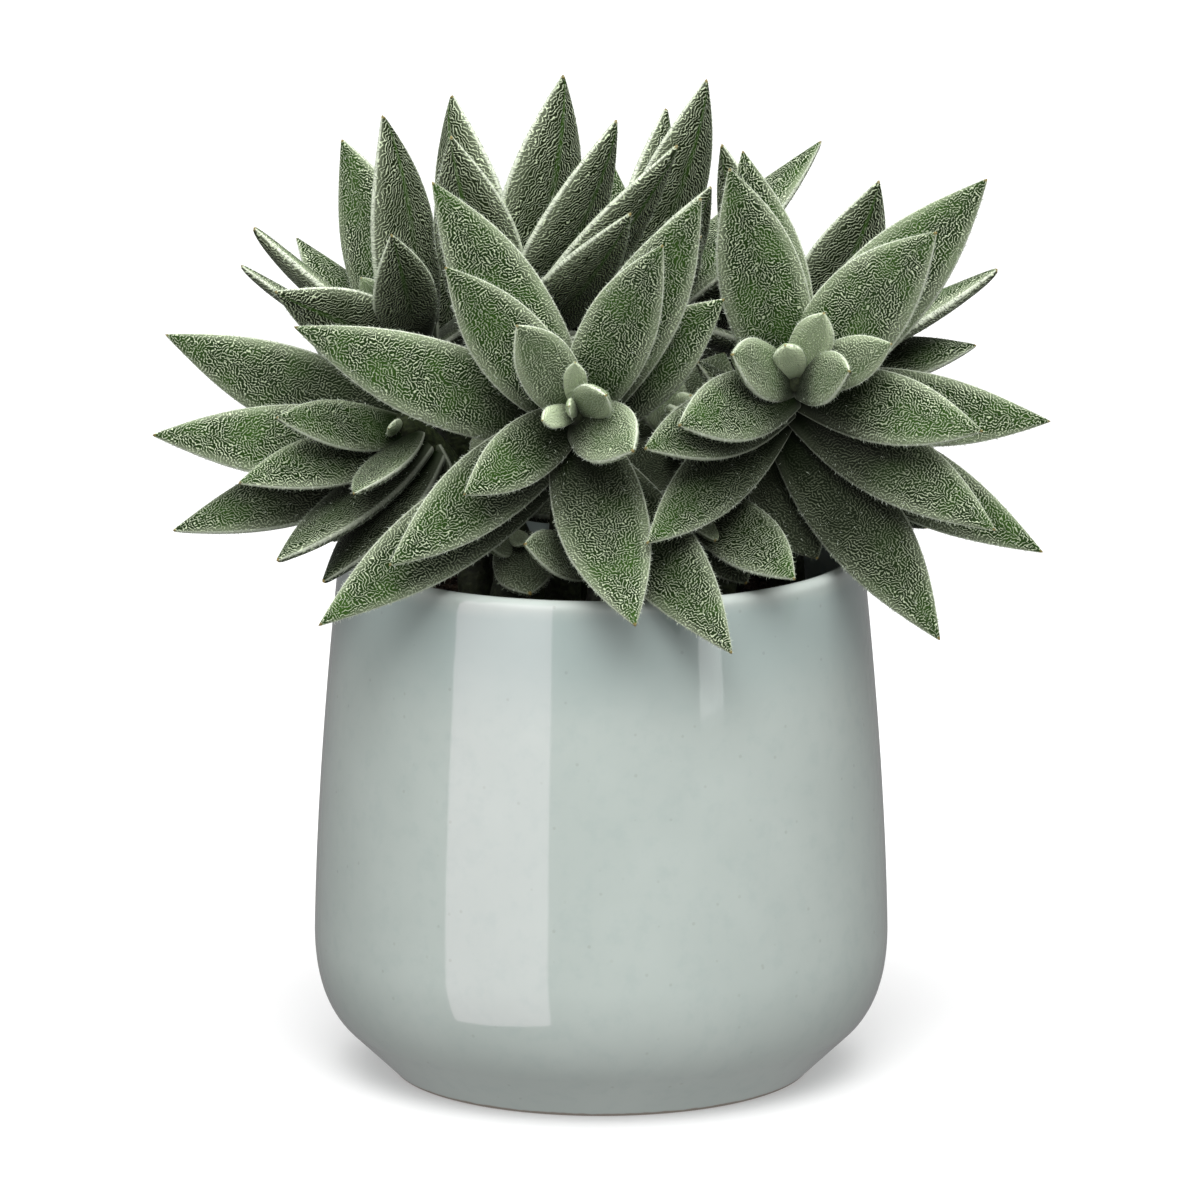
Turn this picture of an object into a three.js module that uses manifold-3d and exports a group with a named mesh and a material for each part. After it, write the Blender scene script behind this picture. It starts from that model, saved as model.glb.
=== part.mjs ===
// A potted succulent: a glazed ceramic pot, the soil in it, and the leafy shoots that stand in holes in the
// soil. Each shoot is one solid: a stem that carries fleshy, lance-shaped leaves.
// Lengths are in millimetres and angles in degrees. +Z is up, and -Y faces the viewer. The origin is on the
// surface that the pot stands on, under the pot's axis.

import * as THREE from "three";
import { mergeVertices } from "three/addons/utils/BufferGeometryUtils.js";
import Module from "manifold-3d";

const wasm = await Module();
wasm.setup();

// Driving dimensions

const CLEARANCE = 0.3; // between solids that rest on or in each other

const POT = {
  height: 111,
  rimRadius: 54.9, // outside, just under the lip
  widestRadius: 60.3,
  widestHeight: 30,
  bendHeight: 62, // where the wall starts to lean in towards the rim
  heelRadius: 54, // where the straight chamfer runs into the belly
  heelHeight: 10,
  footRadius: 44, // the underside is flat
  footRound: 0.7,
  wall: 3.8,
  floor: 7,
  segments: 48,
};

const SOIL = {
  height: 97, // where it meets the wall
  crown: 3, // how much higher it is in the middle
  holeDepth: 22,
  holeSides: 8,
};

const STEM = {
  radiusAtSoil: 3.9,
  radiusAtHead: 2.9,
  sides: 6,
  steps: 5,
};

const LEAF = {
  fullWidth: 17.5, // of the longest leaves
  widthGrowth: 15, // the length over which a growing leaf gains most of its width
  fleshiness: 0.32, // thickness as a share of width
  aboveShare: 0.34, // the share of the thickness above the line between the two edges
  baseWidth: 0.55, // width at the root as a share of the full width
  widestAt: 0.42, // as a share of the length
  pointedness: 1.12,
  incurve: 0.09, // how far the tip bends towards the shoot's axis, as a share of the length
  youngBelow: 32, // leaves shorter than this are plumper and blunter
  rings: [0, 0.22, 0.5, 0.78], // where its sections are
  youngRings: [0, 0.3, 0.68],
  sides: 6,
};

const SPACING = {
  betweenShoots: 0.6,
  withinShoot: 0.2,
  rounds: 180,
  step: 0.5, // the share of an overlap that one round clears
  samples: 9, // contact points along a leaf
};

// The shoots that the viewer sees: where each stem leaves the soil, where its head is and which way it faces.
// The leaves are listed from the bud outwards: the place of the tip (x, y, z), how far below the head the
// leaf grows on the stem, its width where it isn't the usual one for its length, and how far it is turned
// about its own line, in degrees.

const SHOOTS = [
  {
    name: "shoot_front_left",
    foot: [-8, -22],
    head: [-5, -45, 149],
    faces: [0.02, -0.95, 0.3],
    leaves: [
      [-6.5, -53, 151.5, 0, 4],
      [-12, -55, 149, 1, 5],
      [-3.5, -55, 159, 1, 5],
      [-1, -61, 158, 2.5, 8.5],
      [-17, -57, 169, 2.5, 12.5],
      [-28, -60, 134.5, 4.5, 13],
      [8, -66, 145, 4.5, 14],
      [-32, -50, 179.5, 7, 16],
      [12.5, -54, 185, 7, 15.5],
      [-43.5, -60, 120, 8, 16],
      [9.5, -74, 111.5, 9, 19],
      [-34.5, -36, 195, 10, 18],
      [23.5, -46, 192, 10, 17],
      [-63, -42, 165.5, 13, 17.5],
      [23.5, -38, 172.5, 13],
      [-57.5, -60, 107, 16, 17],
      [25.5, -69, 101.5, 18, 17.5],
    ],
  },
  {
    name: "shoot_front_right",
    foot: [24, -14],
    head: [40, -25, 152],
    faces: [-0.02, -0.93, 0.37],
    leaves: [
      [39, -33, 161, 0, 6.5],
      [46, -34, 166, 1.5, 9],
      [57.5, -38, 163, 2.5, 10.5],
      [51.5, -46, 158.5, 3.5, 11.5],
      [26, -44, 158.5, 3.5, 12.5],
      [14.5, -56, 147, 5.5, 15.5],
      [78, -42, 141.5, 6, 15.5],
      [68.5, -36, 184, 6, 19.5],
      [26, -26, 196, 7, 18],
      [10, -60, 141.5, 10, 15.5],
      [79, -22, 193.5, 10, 19.5],
      [29.5, -12, 197.5, 10, 17],
      [81.5, -44, 126, 10, 16],
      [92.5, -18, 137, 10, 16],
      [7, -65, 130, 14, 14.5],
      [92, -28, 117.5, 15, 16.5],
      [72.5, -42, 102, 15, 18],
      [45.5, -22, 113, 26, 14],
    ],
  },
  {
    name: "shoot_left",
    foot: [-26, -12],
    head: [-42, -12, 139.5],
    faces: [-0.7, -0.62, 0.36],
    leaves: [
      [-44, -20, 140.5, 0, 4],
      [-67, -34, 145, 3, 12, -50],
      [-51, -44, 131.5, 4, 11, -30],
      [-75.5, -36, 133.5, 5, 13.5, -30],
      [-91, -2, 156.5, 7],
      [-67.5, -38, 116.5, 7],
      [-92.5, -26, 135.5, 8, 16.5, -15],
      [-89.5, -22, 123, 9],
      [-57.5, -32, 110.5, 10, 16.5],
      [-79, 22, 145, 10, 14],
      [-29, -10, 114, 8, 11],
    ],
  },
  {
    name: "shoot_upper_left",
    foot: [-22, 8],
    head: [-41, 4, 156.5],
    faces: [-0.38, 0.2, 0.9],
    leaves: [
      [-42, 2, 168.5, 0, 5],
      [-46, 0, 172, 1.5, 7],
      [-38.5, 4, 172.5, 1.5, 7],
      [-67, -26, 170.5, 4, 14.5, 40],
      [-43, -24, 182, 4, 14],
      [-73.5, -4, 179.5, 6, 16, -25],
      [-40.5, -8, 204, 6, 17.5],
      [-54, 20, 194.5, 7, 19],
      [-74.5, 12, 171, 8, 12.5],
      [-65, 30, 172.5, 9, 13.5],
      [-52.5, 30, 186.5, 9, 14],
      [-20, 24, 158, 6, 14],
    ],
  },
  {
    name: "shoot_upper",
    foot: [-4, 4],
    head: [-21, 5, 159],
    faces: [-0.1, 0.42, 0.9],
    leaves: [
      [-18, 2, 174, 0, 6],
      [-13, 6, 177, 1.5, 8],
      [-24, 6, 176, 1.5, 8],
      [-7.5, 2, 211, 4, 20],
      [3.5, -10, 203.5, 5, 17],
      [-35.5, -12, 200, 5, 18.5],
      [-33, 16, 204, 6, 19.5],
      [7.5, -42, 191.5, 8, 16.5],
      [-10.5, 32, 190, 8, 15],
      [14.5, -28, 200, 9, 16],
      [-2, -26, 162, 13, 15.5],
    ],
  },
  {
    name: "shoot_upper_right",
    foot: [8, 16],
    head: [4, 22, 161.5],
    faces: [0, 0.4, 0.92],
    leaves: [
      [8, 20, 176, 0, 6],
      [11.5, 22, 180, 1.5, 8],
      [22, 12, 208.5, 5, 17.5],
      [14, 30, 199.5, 6, 16],
      [23, 2, 187.5, 7, 15],
      [2, 38, 186.5, 8, 14],
      [0, 44, 182.5, 9, 13],
      [48.5, 42, 189, 9, 16.5, 40],
      [20.5, -14, 180, 11, 13],
    ],
  },
  {
    name: "shoot_right",
    foot: [26, 16],
    head: [43, 22, 152.5],
    faces: [0.2, 0.35, 0.9],
    leaves: [
      [41.5, 22, 166.5, 0, 6],
      [45, 24, 169.5, 1.5, 8],
      [24, 6, 195.5, 5, 17],
      [57.5, 4, 188.5, 5, 17],
      [83.5, 26, 165.5, 7, 17.5, 25],
      [79, 22, 150.5, 8, 15, 50],
      [63.5, 52, 165, 9],
      [17, 27, 158, 6, 14],
    ],
  },
  {
    name: "shoot_low_left",
    foot: [-20, -31],
    head: [-18, -27, 120],
    faces: [-0.1, -0.9, 0.2],
    leaves: [
      [-17.5, -36, 119, 0, 4],
      [-18.5, -45, 111.5, 2, 12.5],
      [-23, -38, 118, 3, 8],
    ],
  },
  {
    name: "shoot_low_middle",
    foot: [0, -39],
    head: [0, -37, 117],
    faces: [-0.1, -0.8, 0.5],
    leaves: [
      [0, -42, 119, 0, 4],
      [-15.5, -54, 123, 2.5, 11],
    ],
  },
  {
    name: "shoot_low_right",
    foot: [16, -33],
    head: [20, -28, 129],
    faces: [0.3, -0.85, 0.1],
    leaves: [
      [20, -38, 127, 0, 5],
      [39, -56, 116, 3, 14.5],
      [22.5, -42, 123.5, 2, 8],
      [30, -38, 111.5, 5, 13],
    ],
  },
];

// The shoots behind and in the middle, whose leaves follow a rule: opposite pairs, each pair turned a quarter
// from the one before it.
const REAR_SHOOTS = [
  {
    name: "shoot_middle",
    foot: [8, -6],
    head: [17, -6, 138],
    faces: [0.1, -0.7, 0.7],
    twist: 35,
    longest: 30,
    pairs: 4,
  },
  {
    name: "shoot_inner_left",
    foot: [-15, -9],
    head: [-22, -12, 128],
    faces: [-0.2, -0.4, 0.9],
    twist: 60,
    longest: 22,
    pairs: 3,
  },
  {
    name: "shoot_inner_right",
    foot: [39, 3],
    head: [49, 4, 137],
    faces: [0.75, 0.05, 0.65],
    twist: 55,
    longest: 34,
    pairs: 4,
  },
  {
    name: "shoot_rear_left",
    foot: [-20, 26],
    head: [-44, 48, 142],
    faces: [-0.5, 0.6, 0.62],
    twist: 10,
    longest: 50,
    pairs: 7,
  },
  {
    name: "shoot_rear",
    foot: [2, 34],
    head: [2, 60, 150],
    faces: [0, 0.75, 0.66],
    twist: 55,
    longest: 50,
    pairs: 7,
  },
  {
    name: "shoot_rear_right",
    foot: [27, 31],
    head: [46, 56, 137],
    faces: [0.55, 0.65, 0.53],
    twist: 10,
    longest: 50,
    pairs: 7,
  },
];

const ROSETTE = {
  firstTilt: 10,
  lastTilt: 108,
  firstLength: 9,
  firstDrop: 0.5,
  dropPerPair: 2.4,
  unevenTurn: 16,
  unevenTilt: 10,
};

// Small helpers

const vec = (xyz) => new THREE.Vector3(...xyz);
const radians = THREE.MathUtils.degToRad;
const mix = THREE.MathUtils.lerp;

// An uneven but repeatable number from -0.5 to 0.5 for the n-th leaf.
const uneven = (n) => ((n * 0.618034 + 0.37) % 1) - 0.5;

// A closed skin over rings of points, which all have the same count. The ends are closed by a fan to a point.
function skin(rings, firstPoint, lastPoint) {
  const sides = rings[0].length;
  const position = [];
  const triangle = (...points) => points.forEach((p) => position.push(p.x, p.y, p.z));
  for (let i = 0; i < sides; i++) {
    const j = (i + 1) % sides;
    triangle(firstPoint, rings[0][j], rings[0][i]);
    triangle(lastPoint, rings.at(-1)[i], rings.at(-1)[j]);
    for (let r = 0; r + 1 < rings.length; r++) {
      const [a, b, c, d] = [rings[r][i], rings[r][j], rings[r + 1][j], rings[r + 1][i]];
      triangle(a, b, c);
      triangle(a, c, d);
    }
  }
  return new THREE.BufferGeometry().setAttribute("position", new THREE.Float32BufferAttribute(position, 3));
}

function solidOf(geometry) {
  const bare = geometry.clone().deleteAttribute("normal").deleteAttribute("uv");
  const merged = mergeVertices(bare, 1e-4);
  return new wasm.Manifold(
    new wasm.Mesh({
      numProp: 3,
      vertProperties: merged.attributes.position.array,
      triVerts: new Uint32Array(merged.index.array),
    }),
  );
}

function geometryOf(solid) {
  const mesh = solid.getMesh();
  return new THREE.BufferGeometry()
    .setAttribute("position", new THREE.BufferAttribute(mesh.vertProperties, 3))
    .setIndex(new THREE.BufferAttribute(mesh.triVerts, 1))
    .toNonIndexed();
}

// The pot and the soil

const lip = POT.wall / 2;
const chamferSlope = POT.heelHeight / (POT.heelRadius - POT.footRadius);
const innerRadius = POT.widestRadius - POT.wall;
const innerHeel = POT.heelRadius - POT.wall - 2;
const bellyCorner = POT.heelHeight + chamferSlope * (POT.widestRadius - POT.heelRadius);

// Half of the pot's section: the underside, the outer wall up to the lip, and the inner wall down to the
// floor.
function potProfile() {
  const path = new THREE.Path();
  path.moveTo(0, 0);
  path.lineTo(POT.footRadius - POT.footRound, 0);
  path.lineTo(POT.footRadius, POT.footRound);
  path.lineTo(POT.heelRadius, POT.heelHeight);
  path.quadraticCurveTo(POT.widestRadius, bellyCorner, POT.widestRadius, POT.widestHeight);
  path.quadraticCurveTo(POT.widestRadius - 0.5, POT.bendHeight, POT.rimRadius, POT.height - lip);
  path.absarc(POT.rimRadius - lip, POT.height - lip, lip, 0, Math.PI);
  path.quadraticCurveTo(innerRadius - 0.8, POT.bendHeight, innerRadius, POT.widestHeight);
  path.quadraticCurveTo(innerRadius, POT.floor + 4, innerHeel, POT.floor + 3);
  path.lineTo(innerHeel - 7, POT.floor);
  path.lineTo(0, POT.floor);
  return path.getPoints(3);
}

const outline = potProfile();
const lipTop = outline.reduce((best, p, i) => (p.y > outline[best].y ? i : best), 0);
const outerWall = outline.slice(0, lipTop + 1);
const innerWall = outline.slice(lipTop);

// The radius of a wall's outline at a height, between the two points that it lies between.
function radiusAt(wall, height) {
  for (let i = 0; i + 1 < wall.length; i++) {
    const [a, b] = [wall[i], wall[i + 1]];
    const share = (height - a.y) / (b.y - a.y);
    if (a.y !== b.y && share >= 0 && share <= 1) return mix(a.x, b.x, share);
  }
  return wall.at(-1).x;
}

// A profile turned about the vertical axis.
function turned(profile) {
  return solidOf(new THREE.LatheGeometry(profile, POT.segments).rotateX(Math.PI / 2));
}

const soilTopAt = (radius) => SOIL.height + SOIL.crown * (1 - (radius / POT.rimRadius) ** 2);

function soilSolid(shoots) {
  const inside = innerWall.filter((p) => p.y < SOIL.height).map((p) => [p.x, p.y]);
  inside.unshift([radiusAt(innerWall, SOIL.height), SOIL.height]);
  const profile = inside
    .map(([x, y]) => new THREE.Vector2(Math.max(0, x - CLEARANCE), y + (y < SOIL.height ? CLEARANCE : 0)))
    .reverse();
  for (const radius of [36, 18, 0]) profile.push(new THREE.Vector2(radius, soilTopAt(radius)));
  let soil = turned(profile);
  for (const shoot of shoots) {
    const depth = SOIL.holeDepth + 20;
    const hole = new THREE.CylinderGeometry(
      STEM.radiusAtSoil + CLEARANCE * 2, STEM.radiusAtSoil + CLEARANCE * 2, depth, SOIL.holeSides);
    hole.rotateX(Math.PI / 2).translate(...shoot.foot, SOIL.height - SOIL.holeDepth + depth / 2);
    soil = soil.subtract(solidOf(hole));
  }
  return soil;
}

// Stems and leaves

const ALONG_STEM = 40; // points on a stem's line

// The line of a stem: straight up out of its hole, then round to the head, which it meets along its facing.
function stemLine(shoot) {
  const start = new THREE.Vector3(...shoot.foot, SOIL.height + 2);
  const head = vec(shoot.head);
  const reach = start.distanceTo(head);
  const curve = new THREE.CubicBezierCurve3(
    start,
    start.clone().add(new THREE.Vector3(0, 0, reach * 0.45)),
    head.clone().addScaledVector(shoot.axis, -reach * 0.4),
    head,
  );
  return curve.getPoints(ALONG_STEM);
}

// The point on the stem that lies a given length below its head.
function belowHead(line, drop) {
  let left = drop;
  for (let i = line.length - 1; i > 0; i--) {
    const step = line[i].distanceTo(line[i - 1]);
    if (step >= left) return line[i].clone().lerp(line[i - 1], left / step);
    left -= step;
  }
  return line[0].clone();
}

// A rear shoot's leaves, in the same form as the listed ones.
function rosette(shoot) {
  const side = new THREE.Vector3(0, 0, 1).cross(shoot.axis).normalize();
  const top = shoot.axis.clone().cross(side);
  const leaves = [];
  for (let pair = 0; pair < shoot.pairs; pair++) {
    for (const half of [0, 1]) {
      const n = pair * 2 + half;
      const age = pair / (shoot.pairs - 1);
      const turn = radians(shoot.twist + 90 * pair + 180 * half + ROSETTE.unevenTurn * uneven(n));
      const evenTilt = mix(ROSETTE.firstTilt, ROSETTE.lastTilt, age);
      const tilt = radians(evenTilt + ROSETTE.unevenTilt * uneven(n + 5));
      const length = mix(ROSETTE.firstLength, shoot.longest, age ** 0.8);
      const drop = ROSETTE.firstDrop + ROSETTE.dropPerPair * pair;
      const outward = side.clone().multiplyScalar(Math.cos(turn)).addScaledVector(top, Math.sin(turn));
      const tip = belowHead(shoot.line, drop)
        .addScaledVector(shoot.axis, length * Math.cos(tilt))
        .addScaledVector(outward, length * Math.sin(tilt));
      leaves.push([tip.x, tip.y, tip.z, drop]);
    }
  }
  return leaves;
}

// A leaf from its root on the stem to its tip, with its upper face towards the shoot's axis. It is a gentle
// curve: root + length * (along * s + incurve * up * s * s), for s from 0 to 1.
function makeLeaf(shoot, [x, y, z, drop, width, turn]) {
  const root = belowHead(shoot.line, drop);
  const chord = new THREE.Vector3(x, y, z).sub(root);
  const toTip = chord.clone().normalize();
  const facing = shoot.axis.clone().addScaledVector(toTip, -shoot.axis.dot(toTip)).normalize();
  if (turn) facing.applyAxisAngle(toTip, radians(turn));
  const bend = Math.atan(LEAF.incurve);
  const length = chord.length() * Math.cos(bend);
  const youth = THREE.MathUtils.clamp((LEAF.youngBelow - length) / 20, 0, 1);
  const full = width ?? LEAF.fullWidth * (1 - Math.exp(-length / LEAF.widthGrowth));
  return {
    shoot,
    root,
    length,
    youth,
    halfWidth: full / 2,
    thickness: full * (LEAF.fleshiness + 0.1 * youth),
    along: toTip.clone().multiplyScalar(Math.cos(bend)).addScaledVector(facing, -Math.sin(bend)),
    up: facing.clone().multiplyScalar(Math.cos(bend)).addScaledVector(toTip, Math.sin(bend)),
  };
}

// A leaf's width at s as a share of its full width.
function swell(leaf, s) {
  const widest = LEAF.widestAt + 0.1 * leaf.youth;
  if (s < widest) return LEAF.baseWidth + (1 - LEAF.baseWidth) * Math.sin((Math.PI / 2) * (s / widest));
  const past = (s - widest) / (1 - widest);
  return Math.cos((Math.PI / 2) * past ** (LEAF.pointedness + 0.7 * leaf.youth));
}

function onLeaf(leaf, s) {
  return leaf.root
    .clone()
    .addScaledVector(leaf.along, leaf.length * s)
    .addScaledVector(leaf.up, leaf.length * LEAF.incurve * s * s);
}

// The leaf's own directions at s: along it, up out of its upper face, and across it.
function leafFrame(leaf, s) {
  const forward = leaf.along.clone().addScaledVector(leaf.up, 2 * LEAF.incurve * s).normalize();
  const up = leaf.up.clone().addScaledVector(forward, -leaf.up.dot(forward)).normalize();
  return { forward, up, across: up.clone().cross(forward) };
}

// A leaf's section at s is a lens: flatter above and deeper below.
function leafRing(leaf, s, sides) {
  const { up, across } = leafFrame(leaf, s);
  const share = swell(leaf, s);
  const deep = leaf.thickness * Math.sqrt(share);
  const ring = [];
  for (let i = 0; i < sides; i++) {
    const turn = (2 * Math.PI * i) / sides;
    const lift = Math.sin(turn) * deep * (Math.sin(turn) > 0 ? LEAF.aboveShare : 1 - LEAF.aboveShare);
    ring.push(
      onLeaf(leaf, s)
        .addScaledVector(across, leaf.halfWidth * share * Math.cos(turn))
        .addScaledVector(up, lift),
    );
  }
  return ring;
}

function leafSolid(leaf) {
  const sections = leaf.youth > 0 ? LEAF.youngRings : LEAF.rings;
  const rings = sections.map((s) => leafRing(leaf, s, LEAF.sides));
  return solidOf(skin(rings, onLeaf(leaf, 0), onLeaf(leaf, 1)));
}

function stemSolid(shoot) {
  const bottom = new THREE.Vector3(...shoot.foot, SOIL.height - SOIL.holeDepth + CLEARANCE);
  const points = [bottom];
  for (let i = 0; i <= STEM.steps; i++) points.push(shoot.line[Math.round((i * ALONG_STEM) / STEM.steps)]);
  const rings = points.map((point, i) => {
    const ahead = points[Math.min(i + 1, points.length - 1)];
    const forward = i < 2 ? new THREE.Vector3(0, 0, 1) : ahead.clone().sub(points[i - 1]).normalize();
    const side = new THREE.Vector3(1, 0, 0).addScaledVector(forward, -forward.x).normalize();
    const other = forward.clone().cross(side);
    const radius = mix(STEM.radiusAtSoil, STEM.radiusAtHead, Math.max(0, i - 1) / STEM.steps);
    const ring = [];
    for (let k = 0; k < STEM.sides; k++) {
      const turn = (2 * Math.PI * k) / STEM.sides;
      const out = side.clone().multiplyScalar(Math.cos(turn)).addScaledVector(other, Math.sin(turn));
      ring.push(point.clone().addScaledVector(out, radius));
    }
    return ring;
  });
  const tip = vec(shoot.head).addScaledVector(shoot.axis, STEM.radiusAtHead / 2);
  return solidOf(skin(rings, bottom, tip));
}

// Leaves press one another aside as they grow. Every leaf is followed by contact points, each with a small
// ellipsoid as wide and thick as the leaf is there. Where two ellipsoids come closer than the spacing, both
// leaves turn about their roots, away from each other. The pot's rim and wall, the soil and the stems hold.

function contactsOf(leaf) {
  const contacts = [];
  for (let i = 1; i <= SPACING.samples; i++) {
    const s = i / SPACING.samples - 0.4 / SPACING.samples;
    const { forward, up, across } = leafFrame(leaf, s);
    const share = swell(leaf, s);
    const deep = leaf.thickness * Math.sqrt(share);
    contacts.push({
      s,
      at: onLeaf(leaf, s).addScaledVector(up, deep * (LEAF.aboveShare - 0.5)),
      across: across.multiplyScalar(leaf.halfWidth * share),
      up: up.multiplyScalar(deep / 2),
      forward: forward.multiplyScalar((leaf.length / SPACING.samples) * 0.55),
      most: Math.max(leaf.halfWidth * share, (leaf.length / SPACING.samples) * 0.55),
    });
  }
  return contacts;
}

const reachTowards = (contact, way) =>
  Math.hypot(contact.across.dot(way), contact.up.dot(way), contact.forward.dot(way));

// Turns the push on one contact point into a turn of its leaf about the root.
function addTurn(turn, leaf, contact, push) {
  const arm = contact.at.clone().sub(leaf.root);
  const size = Math.max(arm.length(), leaf.length * 0.35);
  turn.add(arm.cross(push).divideScalar(size * size));
}

// The deepest overlap of two leaves, as the two contacts, the way from one to the other, and the depth.
function deepestOverlap(a, b) {
  const near = a.shoot === b.shoot ? 0.45 : 0;
  const gap = a.shoot === b.shoot ? SPACING.withinShoot : SPACING.betweenShoots;
  let deepest = null;
  for (const p of a.contacts) {
    if (p.s < near) continue;
    for (const q of b.contacts) {
      if (q.s < near) continue;
      const way = q.at.clone().sub(p.at);
      const distance = way.length();
      if (distance > p.most + q.most + gap) continue;
      way.divideScalar(Math.max(distance, 1e-6));
      const depth = reachTowards(p, way) + reachTowards(q, way) + gap - distance;
      if (depth > 0 && (!deepest || depth > deepest.depth)) deepest = { p, q, way, depth };
    }
  }
  return deepest;
}

// How far, and which way, the pot and the soil push a contact point.
function pushFromPot(contact) {
  const { x, y, z } = contact.at;
  const radius = Math.hypot(x, y);
  const outward = new THREE.Vector3(x, y, 0).divideScalar(Math.max(radius, 1e-6));
  const push = new THREE.Vector3();
  const reach = reachTowards(contact, outward) + SPACING.betweenShoots;
  const lipHeight = POT.height - lip;
  if (z < lipHeight) {
    const outside = radiusAt(outerWall, Math.max(z, POT.widestHeight));
    const inside = radiusAt(innerWall, Math.max(z, POT.widestHeight));
    if (radius > (outside + inside) / 2) push.addScaledVector(outward, Math.max(0, outside + reach - radius));
    else push.addScaledVector(outward, -Math.max(0, radius + reach - inside));
  } else {
    const ringPoint = outward.clone().multiplyScalar(POT.rimRadius - lip).setZ(lipHeight);
    const way = contact.at.clone().sub(ringPoint);
    const distance = Math.max(way.length(), 1e-6);
    way.divideScalar(distance);
    const depth = reachTowards(contact, way) + SPACING.betweenShoots + lip - distance;
    if (depth > 0) push.addScaledVector(way, depth);
  }
  if (radius < POT.rimRadius) {
    const upward = new THREE.Vector3(0, 0, 1);
    push.z += Math.max(0, soilTopAt(radius) + reachTowards(contact, upward) + SPACING.betweenShoots - z);
  }
  return push;
}

function pushFromStem(contact, stem) {
  const push = new THREE.Vector3();
  stem.line.forEach((point, i) => {
    const way = contact.at.clone().sub(point);
    const distance = way.length();
    const radius = mix(STEM.radiusAtSoil, STEM.radiusAtHead, i / ALONG_STEM);
    if (distance > contact.most + radius + SPACING.betweenShoots) return;
    way.divideScalar(Math.max(distance, 1e-6));
    const depth = reachTowards(contact, way) + radius + SPACING.betweenShoots - distance;
    if (depth > push.length()) push.copy(way).multiplyScalar(depth);
  });
  return push;
}

function spread(leaves, shoots) {
  for (let round = 0; round < SPACING.rounds; round++) {
    const turns = leaves.map(() => new THREE.Vector3());
    for (const leaf of leaves) {
      leaf.contacts = contactsOf(leaf);
      leaf.middle = onLeaf(leaf, 0.5);
    }
    leaves.forEach((a, i) => {
      for (let j = i + 1; j < leaves.length; j++) {
        const b = leaves[j];
        if (a.middle.distanceTo(b.middle) > (a.length + b.length) / 2 + 6) continue;
        const overlap = deepestOverlap(a, b);
        if (!overlap) continue;
        const push = overlap.way.multiplyScalar(overlap.depth * SPACING.step * 0.5);
        addTurn(turns[j], b, overlap.q, push);
        addTurn(turns[i], a, overlap.p, push.clone().negate());
      }
      for (const contact of a.contacts) {
        const push = pushFromPot(contact);
        if (push.lengthSq() > 0) addTurn(turns[i], a, contact, push.multiplyScalar(SPACING.step * 0.5));
      }
      for (const shoot of shoots) {
        if (shoot === a.shoot) continue;
        for (const contact of a.contacts) {
          const push = pushFromStem(contact, shoot);
          if (push.lengthSq() > 0) addTurn(turns[i], a, contact, push.multiplyScalar(SPACING.step * 0.5));
        }
      }
    });
    leaves.forEach((leaf, i) => {
      const angle = turns[i].length();
      if (angle < 1e-9) return;
      turns[i].divideScalar(angle);
      leaf.along.applyAxisAngle(turns[i], angle);
      leaf.up.applyAxisAngle(turns[i], angle);
    });
  }
}

// Assembly

const COLOURS = {
  pot: { color: 0xb3c4bd, roughness: 0.18, metalness: 0 },
  soil: { color: 0x2b2119, roughness: 0.95, metalness: 0 },
  leaf: { color: 0x7f9677, roughness: 0.75, metalness: 0 },
};

function named(name, solid, colour) {
  const mesh = new THREE.Mesh(geometryOf(solid), new THREE.MeshStandardMaterial(colour));
  mesh.geometry.computeVertexNormals();
  mesh.name = name;
  return mesh;
}

const shoots = [...SHOOTS, ...REAR_SHOOTS];
for (const shoot of shoots) {
  shoot.axis = vec(shoot.faces).normalize();
  shoot.line = stemLine(shoot);
  shoot.leaves ??= rosette(shoot);
}
const leaves = shoots.flatMap((shoot) => shoot.leaves.map((listed) => makeLeaf(shoot, listed)));
spread(leaves, shoots);

const plant = new THREE.Group();
plant.name = "potted_succulent";
plant.add(named("pot", turned(outline), COLOURS.pot));
plant.add(named("soil", soilSolid(shoots), COLOURS.soil));
for (const shoot of shoots) {
  const own = leaves.filter((leaf) => leaf.shoot === shoot).map(leafSolid);
  const fused = wasm.Manifold.union([stemSolid(shoot), ...own]);
  // Where leaves meet they may seal off a crumb of space, which is filled.
  const largest = fused.decompose().reduce((best, part) => (part.volume() > best.volume() ? part : best));
  plant.add(named(shoot.name, largest, COLOURS.leaf));
}

export default plant;
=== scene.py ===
# %% [markdown]
# # A potted succulent with downy leaves
#
# The plant is a crassula: shoots of fleshy, lance-shaped leaves that stand in a round pot with a celadon
# glaze. The packed model already holds every piece at its real size, but its leaves have only a few flat
# faces. This lesson grows the fine leaves by the same rule, covers them with down, turns a smooth pot,
# strews crumbs on the soil and lights it all softly. First the packed model is loaded, and its box is kept
# for a test at the end.

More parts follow.
